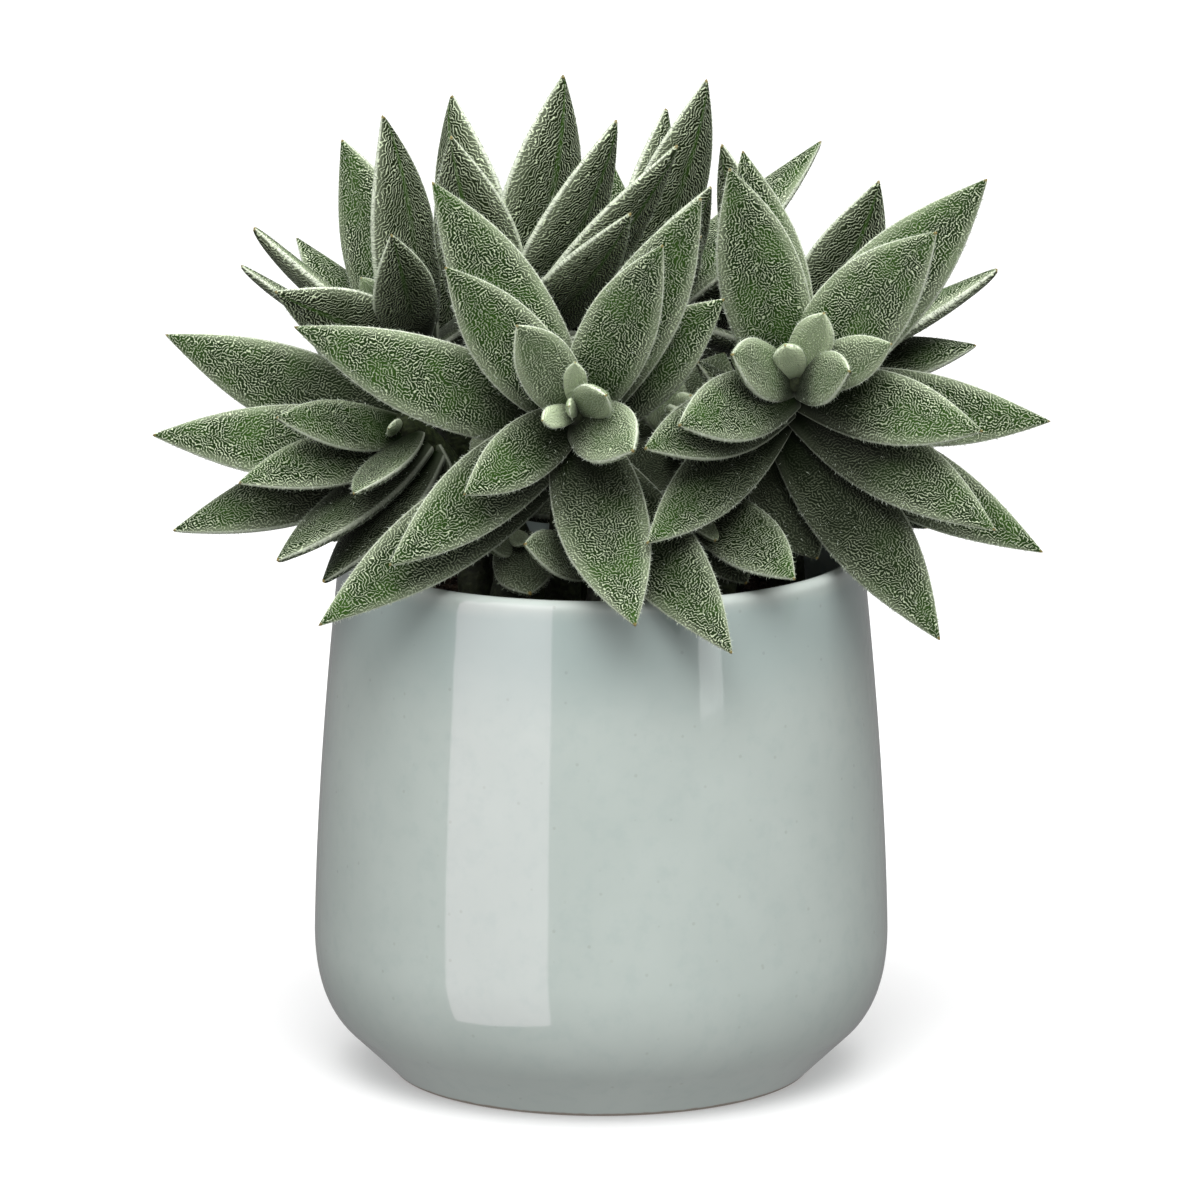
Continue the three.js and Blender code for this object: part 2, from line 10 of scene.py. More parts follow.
# %% Load the packed model
import math
import bpy
import numpy as np
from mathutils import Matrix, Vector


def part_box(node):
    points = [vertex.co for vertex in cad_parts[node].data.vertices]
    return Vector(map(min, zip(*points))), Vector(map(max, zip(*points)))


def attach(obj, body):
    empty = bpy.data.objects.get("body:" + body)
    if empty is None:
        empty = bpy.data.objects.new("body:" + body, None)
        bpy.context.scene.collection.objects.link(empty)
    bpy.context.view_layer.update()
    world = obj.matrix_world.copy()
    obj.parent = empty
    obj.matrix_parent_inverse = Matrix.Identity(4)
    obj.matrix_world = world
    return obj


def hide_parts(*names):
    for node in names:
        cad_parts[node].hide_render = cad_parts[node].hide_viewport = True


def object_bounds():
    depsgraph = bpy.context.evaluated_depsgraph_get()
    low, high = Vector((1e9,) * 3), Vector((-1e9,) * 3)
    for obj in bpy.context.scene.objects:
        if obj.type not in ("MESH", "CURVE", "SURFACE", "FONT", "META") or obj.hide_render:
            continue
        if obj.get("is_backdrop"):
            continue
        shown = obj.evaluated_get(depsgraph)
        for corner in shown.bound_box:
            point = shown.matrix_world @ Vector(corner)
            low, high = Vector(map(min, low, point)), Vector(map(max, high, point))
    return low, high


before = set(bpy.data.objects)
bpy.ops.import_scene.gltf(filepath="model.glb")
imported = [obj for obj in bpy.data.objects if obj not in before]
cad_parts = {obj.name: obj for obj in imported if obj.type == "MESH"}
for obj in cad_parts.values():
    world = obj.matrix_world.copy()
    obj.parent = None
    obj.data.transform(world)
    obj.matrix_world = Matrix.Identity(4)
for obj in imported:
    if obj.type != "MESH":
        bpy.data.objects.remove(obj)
cad_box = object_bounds()
MM = 0.001
print("nodes:", len(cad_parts), "box:", [tuple(round(v, 4) for v in corner) for corner in cad_box])

# %% [markdown]
# ## The camera
#
# A photograph of a product is mostly taken from far away with a long lens, so that the pot's sides look
# parallel. The distance and the lens here were found by laying the pot's outline over the photograph: the
# rim's ellipse gives the height of the camera, and the pot's width gives the lens.

# %% Place the camera
CAMERA_PLACE = (-0.00025, -2.06, 0.537)
CAMERA_AIM = (-0.00025, 0.0, 0.100)
LENS = 302.0
SENSOR = 36.0


def added(name, data):
    """A new thing in the scene."""
    thing = bpy.data.objects.new(name, data)
    bpy.context.scene.collection.objects.link(thing)
    return thing


def aimed(data, name, place, aim):
    """A camera or a light at a place, which looks at another."""
    thing = added(name, data)
    thing.location = place
    way = thing.location.copy()
    way.x, way.y, way.z = (a - p for a, p in zip(aim, place))
    thing.rotation_euler = way.to_track_quat("-Z", "Y").to_euler()
    return thing


camera_data = bpy.data.cameras.new("camera")
camera_data.lens = LENS
camera_data.sensor_width = SENSOR
camera_data.clip_end = 50
camera = aimed(camera_data, "camera", CAMERA_PLACE, CAMERA_AIM)
bpy.context.scene.camera = camera
print("camera:", CAMERA_PLACE, "lens:", LENS)

# %% [markdown]
# ## Where the leaves are
#
# On the real plant each shoot is a stem with leaves around it. The listed shoots are the ones that the
# photograph shows. For each, the list gives where its stem leaves the soil, where its head is, and which
# way it faces, and then its leaves from the bud outwards: the place of the tip, how far below the head the
# leaf grows, its width where it isn't the usual one, and its turn about its own line. The ruled shoots
# stand behind and in the middle. Their last three numbers say how far the first pair of leaves is turned,
# how long the longest leaf is, and how many pairs there are. All lengths are in millimetres, as in the
# packed model's own source.

# %% List the shoots
LISTED_KEYS = ("foot", "head", "faces", "leaves")
LISTED_SHOOTS = {
    "shoot_front_left": ((-8, -22), (-5, -45, 149), (0.02, -0.95, 0.3), [
        (-6.5, -53, 151.5, 0, 4), (-12, -55, 149, 1, 5), (-3.5, -55, 159, 1, 5), (-1, -61, 158, 2.5, 8.5),
        (-17, -57, 169, 2.5, 12.5), (-28, -60, 134.5, 4.5, 13), (8, -66, 145, 4.5, 14),
        (-32, -50, 179.5, 7, 16), (12.5, -54, 185, 7, 15.5), (-43.5, -60, 120, 8, 16),
        (9.5, -74, 111.5, 9, 19), (-34.5, -36, 195, 10, 18), (23.5, -46, 192, 10, 17),
        (-63, -42, 165.5, 13, 17.5), (23.5, -38, 172.5, 13), (-57.5, -60, 107, 16, 17),
        (25.5, -69, 101.5, 18, 17.5),
    ]),
    "shoot_front_right": ((24, -14), (40, -25, 152), (-0.02, -0.93, 0.37), [
        (39, -33, 161, 0, 6.5), (46, -34, 166, 1.5, 9), (57.5, -38, 163, 2.5, 10.5),
        (51.5, -46, 158.5, 3.5, 11.5), (26, -44, 158.5, 3.5, 12.5), (14.5, -56, 147, 5.5, 15.5),
        (78, -42, 141.5, 6, 15.5), (68.5, -36, 184, 6, 19.5), (26, -26, 196, 7, 18),
        (10, -60, 141.5, 10, 15.5), (79, -22, 193.5, 10, 19.5), (29.5, -12, 197.5, 10, 17),
        (81.5, -44, 126, 10, 16), (92.5, -18, 137, 10, 16), (7, -65, 130, 14, 14.5),
        (92, -28, 117.5, 15, 16.5), (72.5, -42, 102, 15, 18), (45.5, -22, 113, 26, 14),
    ]),
    "shoot_left": ((-26, -12), (-42, -12, 139.5), (-0.7, -0.62, 0.36), [
        (-44, -20, 140.5, 0, 4), (-67, -34, 145, 3, 12, -50), (-51, -44, 131.5, 4, 11, -30),
        (-75.5, -36, 133.5, 5, 13.5, -30), (-91, -2, 156.5, 7), (-67.5, -38, 116.5, 7),
        (-92.5, -26, 135.5, 8, 16.5, -15), (-89.5, -22, 123, 9), (-57.5, -32, 110.5, 10, 16.5),
        (-79, 22, 145, 10, 14), (-29, -10, 114, 8, 11),
    ]),
    "shoot_upper_left": ((-22, 8), (-41, 4, 156.5), (-0.38, 0.2, 0.9), [
        (-42, 2, 168.5, 0, 5), (-46, 0, 172, 1.5, 7), (-38.5, 4, 172.5, 1.5, 7),
        (-67, -26, 170.5, 4, 14.5, 40), (-43, -24, 182, 4, 14), (-73.5, -4, 179.5, 6, 16, -25),
        (-40.5, -8, 204, 6, 17.5), (-54, 20, 194.5, 7, 19), (-74.5, 12, 171, 8, 12.5),
        (-65, 30, 172.5, 9, 13.5), (-52.5, 30, 186.5, 9, 14), (-20, 24, 158, 6, 14),
    ]),
    "shoot_upper": ((-4, 4), (-21, 5, 159), (-0.1, 0.42, 0.9), [
        (-18, 2, 174, 0, 6), (-13, 6, 177, 1.5, 8), (-24, 6, 176, 1.5, 8), (-7.5, 2, 211, 4, 20),
        (3.5, -10, 203.5, 5, 17), (-35.5, -12, 200, 5, 18.5), (-33, 16, 204, 6, 19.5),
        (7.5, -42, 191.5, 8, 16.5), (-10.5, 32, 190, 8, 15), (14.5, -28, 200, 9, 16),
        (-2, -26, 162, 13, 15.5),
    ]),
    "shoot_upper_right": ((8, 16), (4, 22, 161.5), (0, 0.4, 0.92), [
        (8, 20, 176, 0, 6), (11.5, 22, 180, 1.5, 8), (22, 12, 208.5, 5, 17.5), (14, 30, 199.5, 6, 16),
        (23, 2, 187.5, 7, 15), (2, 38, 186.5, 8, 14), (0, 44, 182.5, 9, 13), (48.5, 42, 189, 9, 16.5, 40),
        (20.5, -14, 180, 11, 13),
    ]),
    "shoot_right": ((26, 16), (43, 22, 152.5), (0.2, 0.35, 0.9), [
        (41.5, 22, 166.5, 0, 6), (45, 24, 169.5, 1.5, 8), (24, 6, 195.5, 5, 17), (57.5, 4, 188.5, 5, 17),
        (83.5, 26, 165.5, 7, 17.5, 25), (79, 22, 150.5, 8, 15, 50), (63.5, 52, 165, 9),
        (17, 27, 158, 6, 14),
    ]),
    "shoot_low_left": ((-20, -31), (-18, -27, 120), (-0.1, -0.9, 0.2), [
        (-17.5, -36, 119, 0, 4), (-18.5, -45, 111.5, 2, 12.5), (-23, -38, 118, 3, 8),
    ]),
    "shoot_low_middle": ((0, -39), (0, -37, 117), (-0.1, -0.8, 0.5), [
        (0, -42, 119, 0, 4), (-15.5, -54, 123, 2.5, 11),
    ]),
    "shoot_low_right": ((16, -33), (20, -28, 129), (0.3, -0.85, 0.1), [
        (20, -38, 127, 0, 5), (39, -56, 116, 3, 14.5), (22.5, -42, 123.5, 2, 8), (30, -38, 111.5, 5, 13),
    ]),
}

RULED_KEYS = ("foot", "head", "faces", "twist", "longest", "pairs")
RULED_SHOOTS = {
    "shoot_middle": ((8, -6), (17, -6, 138), (0.1, -0.7, 0.7), 35, 30, 4),
    "shoot_inner_left": ((-15, -9), (-22, -12, 128), (-0.2, -0.4, 0.9), 60, 22, 3),
    "shoot_inner_right": ((39, 3), (49, 4, 137), (0.75, 0.05, 0.65), 55, 34, 4),
    "shoot_rear_left": ((-20, 26), (-44, 48, 142), (-0.5, 0.6, 0.62), 10, 50, 7),
    "shoot_rear": ((2, 34), (2, 60, 150), (0, 0.75, 0.66), 55, 50, 7),
    "shoot_rear_right": ((27, 31), (46, 56, 137), (0.55, 0.65, 0.53), 10, 50, 7),
}

shoots = {name: dict(zip(LISTED_KEYS, row)) for name, row in LISTED_SHOOTS.items()}
shoots.update((name, dict(zip(RULED_KEYS, row))) for name, row in RULED_SHOOTS.items())
print("shoots:", len(shoots))

# %% [markdown]
# ## The rule of a leaf
#
# A leaf is a gentle curve from its root to its tip, with a lens for a section. It could be sculpted, but a
# formula gives every leaf the same growth with its own size, and lets many leaves be worked out at once.
# The numbers are those of the packed model, so that every fine leaf lies over its plain one.

# %% Sizes of stems and leaves
SOIL_HEIGHT, SOIL_CROWN, HOLE_DEPTH = 97, 3, 22
CLEARANCE = 0.3
STEM_AT_SOIL, STEM_AT_HEAD = 3.9, 2.9
STEM_START = 2
STEM_PULL_UP, STEM_PULL_BACK = 0.45, 0.4
POINTS_ON_STEM = 41

FULL_WIDTH, WIDTH_GROWTH = 17.5, 15
FLESHINESS, ABOVE_SHARE = 0.32, 0.34
BASE_WIDTH, WIDEST_AT, POINTEDNESS = 0.55, 0.42, 1.12
INCURVE = 0.09
YOUNG_BELOW, YOUNG_RANGE = 32, 20
YOUNG_FLESHINESS, YOUNG_WIDEST, YOUNG_POINTEDNESS = 0.1, 0.1, 0.7

FIRST_TILT, LAST_TILT = 10, 108
FIRST_LENGTH, LENGTHENING = 9, 0.8
FIRST_DROP, DROP_PER_PAIR = 0.5, 2.4
UNEVEN_TURN, UNEVEN_TILT = 16, 10
GOLDEN_SHARE = 0.618034


def unit(vectors):
    """Vectors of length one, along the last axis."""
    return vectors / np.maximum(np.linalg.norm(vectors, axis=-1, keepdims=True), 1e-12)


def dot(a, b):
    return (a * b).sum(-1)


def turned_about(vector, axis, angle):
    """A vector, or one for each row, turned about an axis of length one."""
    angle = np.asarray(angle)[..., None]
    along = dot(vector, axis)[..., None] * axis
    return vector * np.cos(angle) + np.cross(axis, vector) * np.sin(angle) + along * (1 - np.cos(angle))


def even_turns(count):
    """Angles at even steps, once round."""
    return 2 * np.pi * np.arange(count) / count


def ramp(value, low, over):
    """0 up to low, 1 when the value is past it by over, and a straight rise between."""
    return np.clip((value - low) / over, 0, 1)


print("a full leaf is", FULL_WIDTH, "mm wide and", round(FULL_WIDTH * FLESHINESS, 1), "mm thick")

# %% [markdown]
# A stem grows straight up out of the soil and bends until it meets its head along the way that the head
# faces. That is a cubic curve with four points, worked out at even steps.

# %% Draw the stems' lines
def stem_line(shoot):
    start = np.array([*shoot["foot"], SOIL_HEIGHT + STEM_START], float)
    head = np.array(shoot["head"], float)
    reach = np.linalg.norm(head - start)
    above = start + [0, 0, reach * STEM_PULL_UP]
    below = head - shoot["axis"] * reach * STEM_PULL_BACK
    t = np.linspace(0, 1, POINTS_ON_STEM)[:, None]
    return (1 - t) ** 3 * start + 3 * (1 - t) ** 2 * t * above + 3 * (1 - t) * t**2 * below + t**3 * head


def distances(path):
    """How far each point of a path is from the first, along the path."""
    return np.concatenate([[0], np.cumsum(np.linalg.norm(np.diff(path, axis=0), axis=1))])


def walked(path, distance):
    """Where one gets to at a distance, or at each of many, along a path."""
    run = distances(path)
    return np.stack([np.interp(distance, run, path[:, k]) for k in range(3)], axis=-1)


def below_head(line, drop):
    """The point that lies a given length below the head, along the stem."""
    return walked(line[::-1], drop)


for shoot in shoots.values():
    shoot["axis"] = unit(np.array(shoot["faces"], float))
    shoot["line"] = stem_line(shoot)
print("lengths of the stems in mm:", [round(distances(shoot["line"])[-1]) for shoot in shoots.values()])

# %% [markdown]
# The ruled shoots grow opposite pairs of leaves, each pair a quarter turn on from the last, longer and more
# spread from the bud down. A small uneven number keeps them from looking stamped.

# %% Give the ruled shoots their leaves
def uneven(n):
    """An uneven but repeatable number from -0.5 to 0.5."""
    return (n * GOLDEN_SHARE + 0.37) % 1 - 0.5


def rosette(shoot):
    side = unit(np.cross([0, 0, 1], shoot["axis"]))
    top = np.cross(shoot["axis"], side)
    rows = []
    for n in range(shoot["pairs"] * 2):
        pair, half = divmod(n, 2)
        age = pair / (shoot["pairs"] - 1)
        turn = math.radians(shoot["twist"] + 90 * pair + 180 * half + UNEVEN_TURN * uneven(n))
        tilt = math.radians(FIRST_TILT + (LAST_TILT - FIRST_TILT) * age + UNEVEN_TILT * uneven(n + 5))
        length = FIRST_LENGTH + (shoot["longest"] - FIRST_LENGTH) * age**LENGTHENING
        drop = FIRST_DROP + DROP_PER_PAIR * pair
        outward = side * math.cos(turn) + top * math.sin(turn)
        reach = shoot["axis"] * math.cos(tilt) + outward * math.sin(tilt)
        rows.append((*(below_head(shoot["line"], drop) + reach * length), drop))
    return rows


for name in RULED_SHOOTS:
    shoots[name]["leaves"] = rosette(shoots[name])
print("leaves:", sum(len(shoot["leaves"]) for shoot in shoots.values()))

# %% [markdown]
# Every leaf becomes one row in a set of arrays: its root, the direction that it grows in, the direction of
# its upper face, and its sizes. Arrays let one line of code work on all the leaves together.

# %% Turn the lists into leaves
def first_shape(number, shoot, x, y, z, drop, width=None, turn=0):
    root = below_head(shoot["line"], drop)
    chord = np.array([x, y, z]) - root
    to_tip = unit(chord)
    facing = unit(shoot["axis"] - to_tip * dot(shoot["axis"], to_tip))
    facing = turned_about(facing, to_tip, math.radians(turn))
    bend = math.atan(INCURVE)
    length = np.linalg.norm(chord) * math.cos(bend)
    youth = min(max((YOUNG_BELOW - length) / YOUNG_RANGE, 0), 1)
    full = width or FULL_WIDTH * (1 - math.exp(-length / WIDTH_GROWTH))
    return {
        "shoot": number,
        "root": root,
        "length": length,
        "youth": youth,
        "half_width": full / 2,
        "thickness": full * (FLESHINESS + YOUNG_FLESHINESS * youth),
        "along": to_tip * math.cos(bend) - facing * math.sin(bend),
        "up": facing * math.cos(bend) + to_tip * math.sin(bend),
    }


class Foliage:
    """Leaves as arrays with one row for each. On a leaf, s goes from 0 at the root to 1 at the tip."""

    def __init__(self, rows):
        for key in rows[0]:
            setattr(self, key, np.array([row[key] for row in rows]))

    def of(self, chosen):
        part = object.__new__(Foliage)
        for key, values in vars(self).items():
            setattr(part, key, values[chosen])
        return part

    def swell(self, s):
        """The width at s, as a share of the full width."""
        widest = (WIDEST_AT + YOUNG_WIDEST * self.youth)[:, None]
        rising = BASE_WIDTH + (1 - BASE_WIDTH) * np.sin(np.pi / 2 * np.minimum(s / widest, 1))
        past = ramp(s, widest, 1 - widest)
        falling = np.cos(np.pi / 2 * past ** (POINTEDNESS + YOUNG_POINTEDNESS * self.youth)[:, None])
        return np.where(s < widest, rising, falling)

    def section(self, s):
        """Half the width, and the whole depth, at s."""
        share = self.swell(s)
        return self.half_width[:, None] * share, self.thickness[:, None] * np.sqrt(share)

    def spine(self, s):
        reach = self.length[:, None, None]
        rise = self.up[:, None] * (INCURVE * s * s)[:, None]
        return self.root[:, None] + reach * (self.along[:, None] * s[:, None] + rise)

    def directions(self, s):
        forward = unit(self.along[:, None] + self.up[:, None] * (2 * INCURVE * s)[:, None])
        up = unit(self.up[:, None] - forward * dot(self.up[:, None], forward)[..., None])
        return forward, up, np.cross(up, forward)


foliage = Foliage([
    first_shape(number, shoot, *row)
    for number, shoot in enumerate(shoots.values())
    for row in shoot["leaves"]
])
print("longest leaf:", round(foliage.length.max(), 1), "mm")

# %% [markdown]
# ## Leaves press one another aside
#
# Leaves that grow through each other would spoil the plant from every side. They could be moved by hand,
# one by one. Here they are pressed apart as they are on the plant: each leaf is followed by a row of small
# ellipsoids, and where two of them come too close, both leaves turn about their roots. The pot, the soil
# and the other stems push too. The steps are the same as in the packed model's source, so the result is the
# same as well.

# %% The pot's wall, as the leaves feel it
pot_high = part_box("pot")[1]
POT_HEIGHT = round(pot_high.z / MM, 3)
WIDEST_RADIUS = round(pot_high.x / MM, 3)
RIM_RADIUS, WALL = 54.9, 3.8
WIDEST_HEIGHT, BEND_HEIGHT = 30, 62
LIP = WALL / 2
FEW_STEPS = 3


def quadratic(start, bend, end, steps):
    """Points on a curve that leaves its start and meets its end along the lines to the bend point."""
    t = np.linspace(0, 1, steps + 1)[:, None]
    start, bend, end = (np.array(p, float) for p in (start, bend, end))
    return (1 - t) ** 2 * start + 2 * (1 - t) * t * bend + t**2 * end


OUTSIDE = (
    (WIDEST_RADIUS, WIDEST_HEIGHT),
    (WIDEST_RADIUS - 0.5, BEND_HEIGHT),
    (RIM_RADIUS, POT_HEIGHT - LIP),
)
INSIDE = (
    (WIDEST_RADIUS - WALL, WIDEST_HEIGHT),
    (WIDEST_RADIUS - WALL - 0.8, BEND_HEIGHT),
    (RIM_RADIUS - WALL, POT_HEIGHT - LIP),
)
OUTER_WALL = quadratic(*OUTSIDE, FEW_STEPS)
INNER_WALL = quadratic(*INSIDE, FEW_STEPS)


def soil_top(radius):
    return SOIL_HEIGHT + SOIL_CROWN * (1 - (radius / RIM_RADIUS) ** 2)


print("pot:", POT_HEIGHT, "mm high,", 2 * WIDEST_RADIUS, "mm wide")

# %% Contact points, and how they push
SPACE_BETWEEN, SPACE_WITHIN = 0.6, 0.2
ROUNDS, STEP, SAMPLES = 180, 0.25, 9
SAMPLED = (np.arange(1, SAMPLES + 1) - 0.4) / SAMPLES
SAMPLE_LENGTH = 0.55
SHORTEST_ARM = 0.35
NEARBY = 6
CROWDED_BELOW = 0.45
NOT_ZERO = 1e-6


class Contacts:
    """Rows of ellipsoids along the leaves, flattened to one row for each ellipsoid."""

    def __init__(self, leaves):
        forward, up, across = leaves.directions(SAMPLED)
        half, deep = leaves.section(SAMPLED)
        stretch = leaves.length / SAMPLES * SAMPLE_LENGTH
        count = len(leaves.length)
        self.s = np.tile(SAMPLED, count)
        self.leaf = np.repeat(np.arange(count), SAMPLES)
        self.at = (leaves.spine(SAMPLED) + up * (deep * (ABOVE_SHARE - 0.5))[..., None]).reshape(-1, 3)
        self.axes = np.stack([
            (across * half[..., None]).reshape(-1, 3),
            (up * (deep / 2)[..., None]).reshape(-1, 3),
            (forward * stretch[:, None, None]).reshape(-1, 3),
        ], axis=1)
        self.most = np.maximum(half, stretch[:, None]).reshape(-1)

    def reach(self, which, way):
        """How far the ellipsoids reach towards a direction."""
        return np.linalg.norm(np.einsum("nij,nj->ni", self.axes[which], way), axis=1)


def add_turns(turns, leaves, contacts, which, push):
    """Turns the push on contact points into turns of their leaves about their roots."""
    leaf = contacts.leaf[which]
    arm = contacts.at[which] - leaves.root[leaf]
    size = np.maximum(np.linalg.norm(arm, axis=1), leaves.length[leaf] * SHORTEST_ARM)
    np.add.at(turns, leaf, np.cross(arm, push) / (size * size)[:, None])


def deepest_of_each(group, depth):
    """Which touch goes deepest in each group, where one overlaps at all."""
    order = np.lexsort((depth, group))
    last = np.append(group[order][1:] != group[order][:-1], True)[:len(group)]
    deepest = order[last]
    return deepest[depth[deepest] > 0]


def push_leaves(turns, leaves, contacts):
    """Each pair of leaves is pushed apart where it overlaps most."""
    middle = leaves.spine(np.array([0.5]))[:, 0]
    a, b = np.triu_indices(len(middle), 1)
    room = (leaves.length[a] + leaves.length[b]) / 2 + NEARBY
    near = np.linalg.norm(middle[a] - middle[b], axis=1) <= room
    a, b = a[near], b[near]
    same = leaves.shoot[a] == leaves.shoot[b]
    offset = np.arange(SAMPLES)
    p = (a[:, None, None] * SAMPLES + offset[:, None] + 0 * offset).reshape(-1)
    q = (b[:, None, None] * SAMPLES + offset + 0 * offset[:, None]).reshape(-1)
    pair = np.repeat(np.arange(len(a)), SAMPLES * SAMPLES)
    gap = np.where(same, SPACE_WITHIN, SPACE_BETWEEN)[pair]
    way = contacts.at[q] - contacts.at[p]
    distance = np.linalg.norm(way, axis=1)
    free = same[pair] & ((contacts.s[p] < CROWDED_BELOW) | (contacts.s[q] < CROWDED_BELOW))
    close = (distance <= contacts.most[p] + contacts.most[q] + gap) & ~free
    p, q, pair, gap, way, distance = (x[close] for x in (p, q, pair, gap, way, distance))
    way = way / np.maximum(distance, NOT_ZERO)[:, None]
    depth = contacts.reach(p, way) + contacts.reach(q, way) + gap - distance
    deepest = deepest_of_each(pair, depth)
    push = way[deepest] * (depth[deepest] * STEP)[:, None]
    add_turns(turns, leaves, contacts, q[deepest], push)
    add_turns(turns, leaves, contacts, p[deepest], -push)


def push_from_pot(contacts):
    """How far, and which way, the pot and the soil push each contact point."""
    at = contacts.at
    everyone = np.arange(len(at))
    radius = np.hypot(at[:, 0], at[:, 1])
    outward = np.column_stack([at[:, :2] / np.maximum(radius, NOT_ZERO)[:, None], 0 * radius])
    reach = contacts.reach(everyone, outward) + SPACE_BETWEEN
    height = np.maximum(at[:, 2], WIDEST_HEIGHT)
    outside = np.interp(height, OUTER_WALL[:, 1], OUTER_WALL[:, 0])
    inside = np.interp(height, INNER_WALL[:, 1], INNER_WALL[:, 0])
    by_outside = np.maximum(0, outside + reach - radius)
    by_inside = np.maximum(0, radius + reach - inside)
    by_wall = np.where(radius > (outside + inside) / 2, by_outside, -by_inside)
    way = at - (outward * (RIM_RADIUS - LIP) + [0, 0, POT_HEIGHT - LIP])
    distance = np.maximum(np.linalg.norm(way, axis=1), NOT_ZERO)
    way = way / distance[:, None]
    by_lip = np.maximum(0, contacts.reach(everyone, way) + SPACE_BETWEEN + LIP - distance)
    below = (at[:, 2] < POT_HEIGHT - LIP)[:, None]
    push = np.where(below, outward * by_wall[:, None], way * by_lip[:, None])
    upward = contacts.reach(everyone, np.tile([0.0, 0.0, 1.0], (len(at), 1)))
    by_soil = np.maximum(0, soil_top(radius) + upward + SPACE_BETWEEN - at[:, 2])
    push[:, 2] += np.where(radius < RIM_RADIUS, by_soil, 0)
    return push


def push_from_stem(contacts, which, line):
    """How far, and which way, one stem pushes some of the contact points."""
    low, high = line.min(0), line.max(0)
    room = contacts.most[which][:, None] + STEM_AT_SOIL + SPACE_BETWEEN
    which = which[((contacts.at[which] > low - room) & (contacts.at[which] < high + room)).all(1)]
    radius = STEM_AT_SOIL + (STEM_AT_HEAD - STEM_AT_SOIL) * np.linspace(0, 1, POINTS_ON_STEM)
    way = contacts.at[which][:, None] - line
    distance = np.linalg.norm(way, axis=2)
    row, point = np.nonzero(distance <= contacts.most[which][:, None] + radius + SPACE_BETWEEN)
    distance = distance[row, point]
    way = way[row, point] / np.maximum(distance, NOT_ZERO)[:, None]
    depth = contacts.reach(which[row], way) + radius[point] + SPACE_BETWEEN - distance
    deepest = deepest_of_each(row, depth)
    return which[row[deepest]], way[deepest] * depth[deepest][:, None]


print("contact points on each leaf:", SAMPLES)

# %% Press the leaves apart
def spread(leaves):
    """Works on the leaves in place, and gives the largest turn of each round."""
    for _ in range(ROUNDS):
        contacts = Contacts(leaves)
        turns = np.zeros_like(leaves.root)
        push_leaves(turns, leaves, contacts)
        everyone = np.arange(len(contacts.at))
        add_turns(turns, leaves, contacts, everyone, push_from_pot(contacts) * STEP)
        for number, shoot in enumerate(shoots.values()):
            others = everyone[leaves.shoot[contacts.leaf] != number]
            touched, push = push_from_stem(contacts, others, shoot["line"])
            add_turns(turns, leaves, contacts, touched, push * STEP)
        angle = np.linalg.norm(turns, axis=1)
        axis = unit(turns)
        leaves.along = turned_about(leaves.along, axis, angle)
        leaves.up = turned_about(leaves.up, axis, angle)
        yield angle.max()


largest = list(spread(foliage))
print("largest turn in the last round:", round(math.degrees(largest[-1]), 3), "degrees")

# %% [markdown]
# ## The fine leaves
#
# A leaf of this plant is fleshy: its upper face is nearly flat, its underside is deep and comes to a soft
# keel towards the tip, and its edges are round. Its section is drawn as a ring of points, and rings from
# root to tip make a closed skin. The rings lie closer together near the tip, where the outline bends most.
# A little twist and a slow wave keep the leaves from being copies of each other.

# %% Sizes of the fine leaves
RINGS, SIDES = 26, 20
RINGS_TO_TIP = 1.35
LAST_POINT = 0.997
TWIST = 5
WAVE, WAVE_TURNS, WAVE_SHIFT = 0.008, 5.0, 3
KEEL, KEEL_FLANKS = 0.35, 1.6

rng = np.random.default_rng(7)
foliage.wobble = rng.uniform(-1, 1, (len(foliage.length), 4))
print("rings and sides of a leaf:", RINGS, SIDES)

# %% Draw the skin of the leaves
def leaf_points(leaves):
    """The points of leaves, and marks of where each one lies along, across and round its leaf."""
    s = 1 - (1 - np.linspace(0, 1, RINGS + 2)[1:-1]) ** RINGS_TO_TIP
    forward, up, across = leaves.directions(s)
    half, deep = leaves.section(s)
    twist = np.radians(TWIST * leaves.wobble[:, 0])[:, None] * s**2
    across, up = turned_about(across, forward, twist), turned_about(up, forward, twist)
    turn = even_turns(SIDES)
    sine, cosine = np.sin(turn), np.cos(turn)
    ridge = KEEL * (s**2)[None, :, None] * (1 - np.abs(cosine)) * np.abs(cosine)
    under = (1 - ABOVE_SHARE) * sine * (1 - ridge * KEEL_FLANKS)
    lift = deep[..., None] * np.where(sine > 0, ABOVE_SHARE * sine, under)
    wave = WAVE * leaves.length[:, None] * np.sin(WAVE_TURNS * s + WAVE_SHIFT * leaves.wobble[:, 1:2]) * s
    sideways = half[..., None] * cosine + wave[..., None]
    middle = leaves.spine(s)
    skin = middle[:, :, None] + across[:, :, None] * sideways[..., None] + up[:, :, None] * lift[..., None]
    tip = leaves.spine(np.array([LAST_POINT])) + across[:, -1:] * wave[:, -1:, None]
    points = np.concatenate([leaves.root[:, None], skin.reshape(len(skin), -1, 3), tip], axis=1)
    count = len(skin)

    def mark(over_skin, at_tip=0.0):
        flat = np.broadcast_to(over_skin, (count, RINGS, SIDES)).reshape(count, -1)
        return np.concatenate([np.zeros((count, 1)), flat, np.full((count, 1), at_tip)], axis=1)

    return points, {
        "along": mark(s[None, :, None], 1.0),
        "across": mark(cosine[None, None]),
        "face": mark(sine[None, None]),
        "side_mm": mark(half[..., None] * cosine),
        "along_mm": mark((leaves.length[:, None] * s)[..., None]),
    }


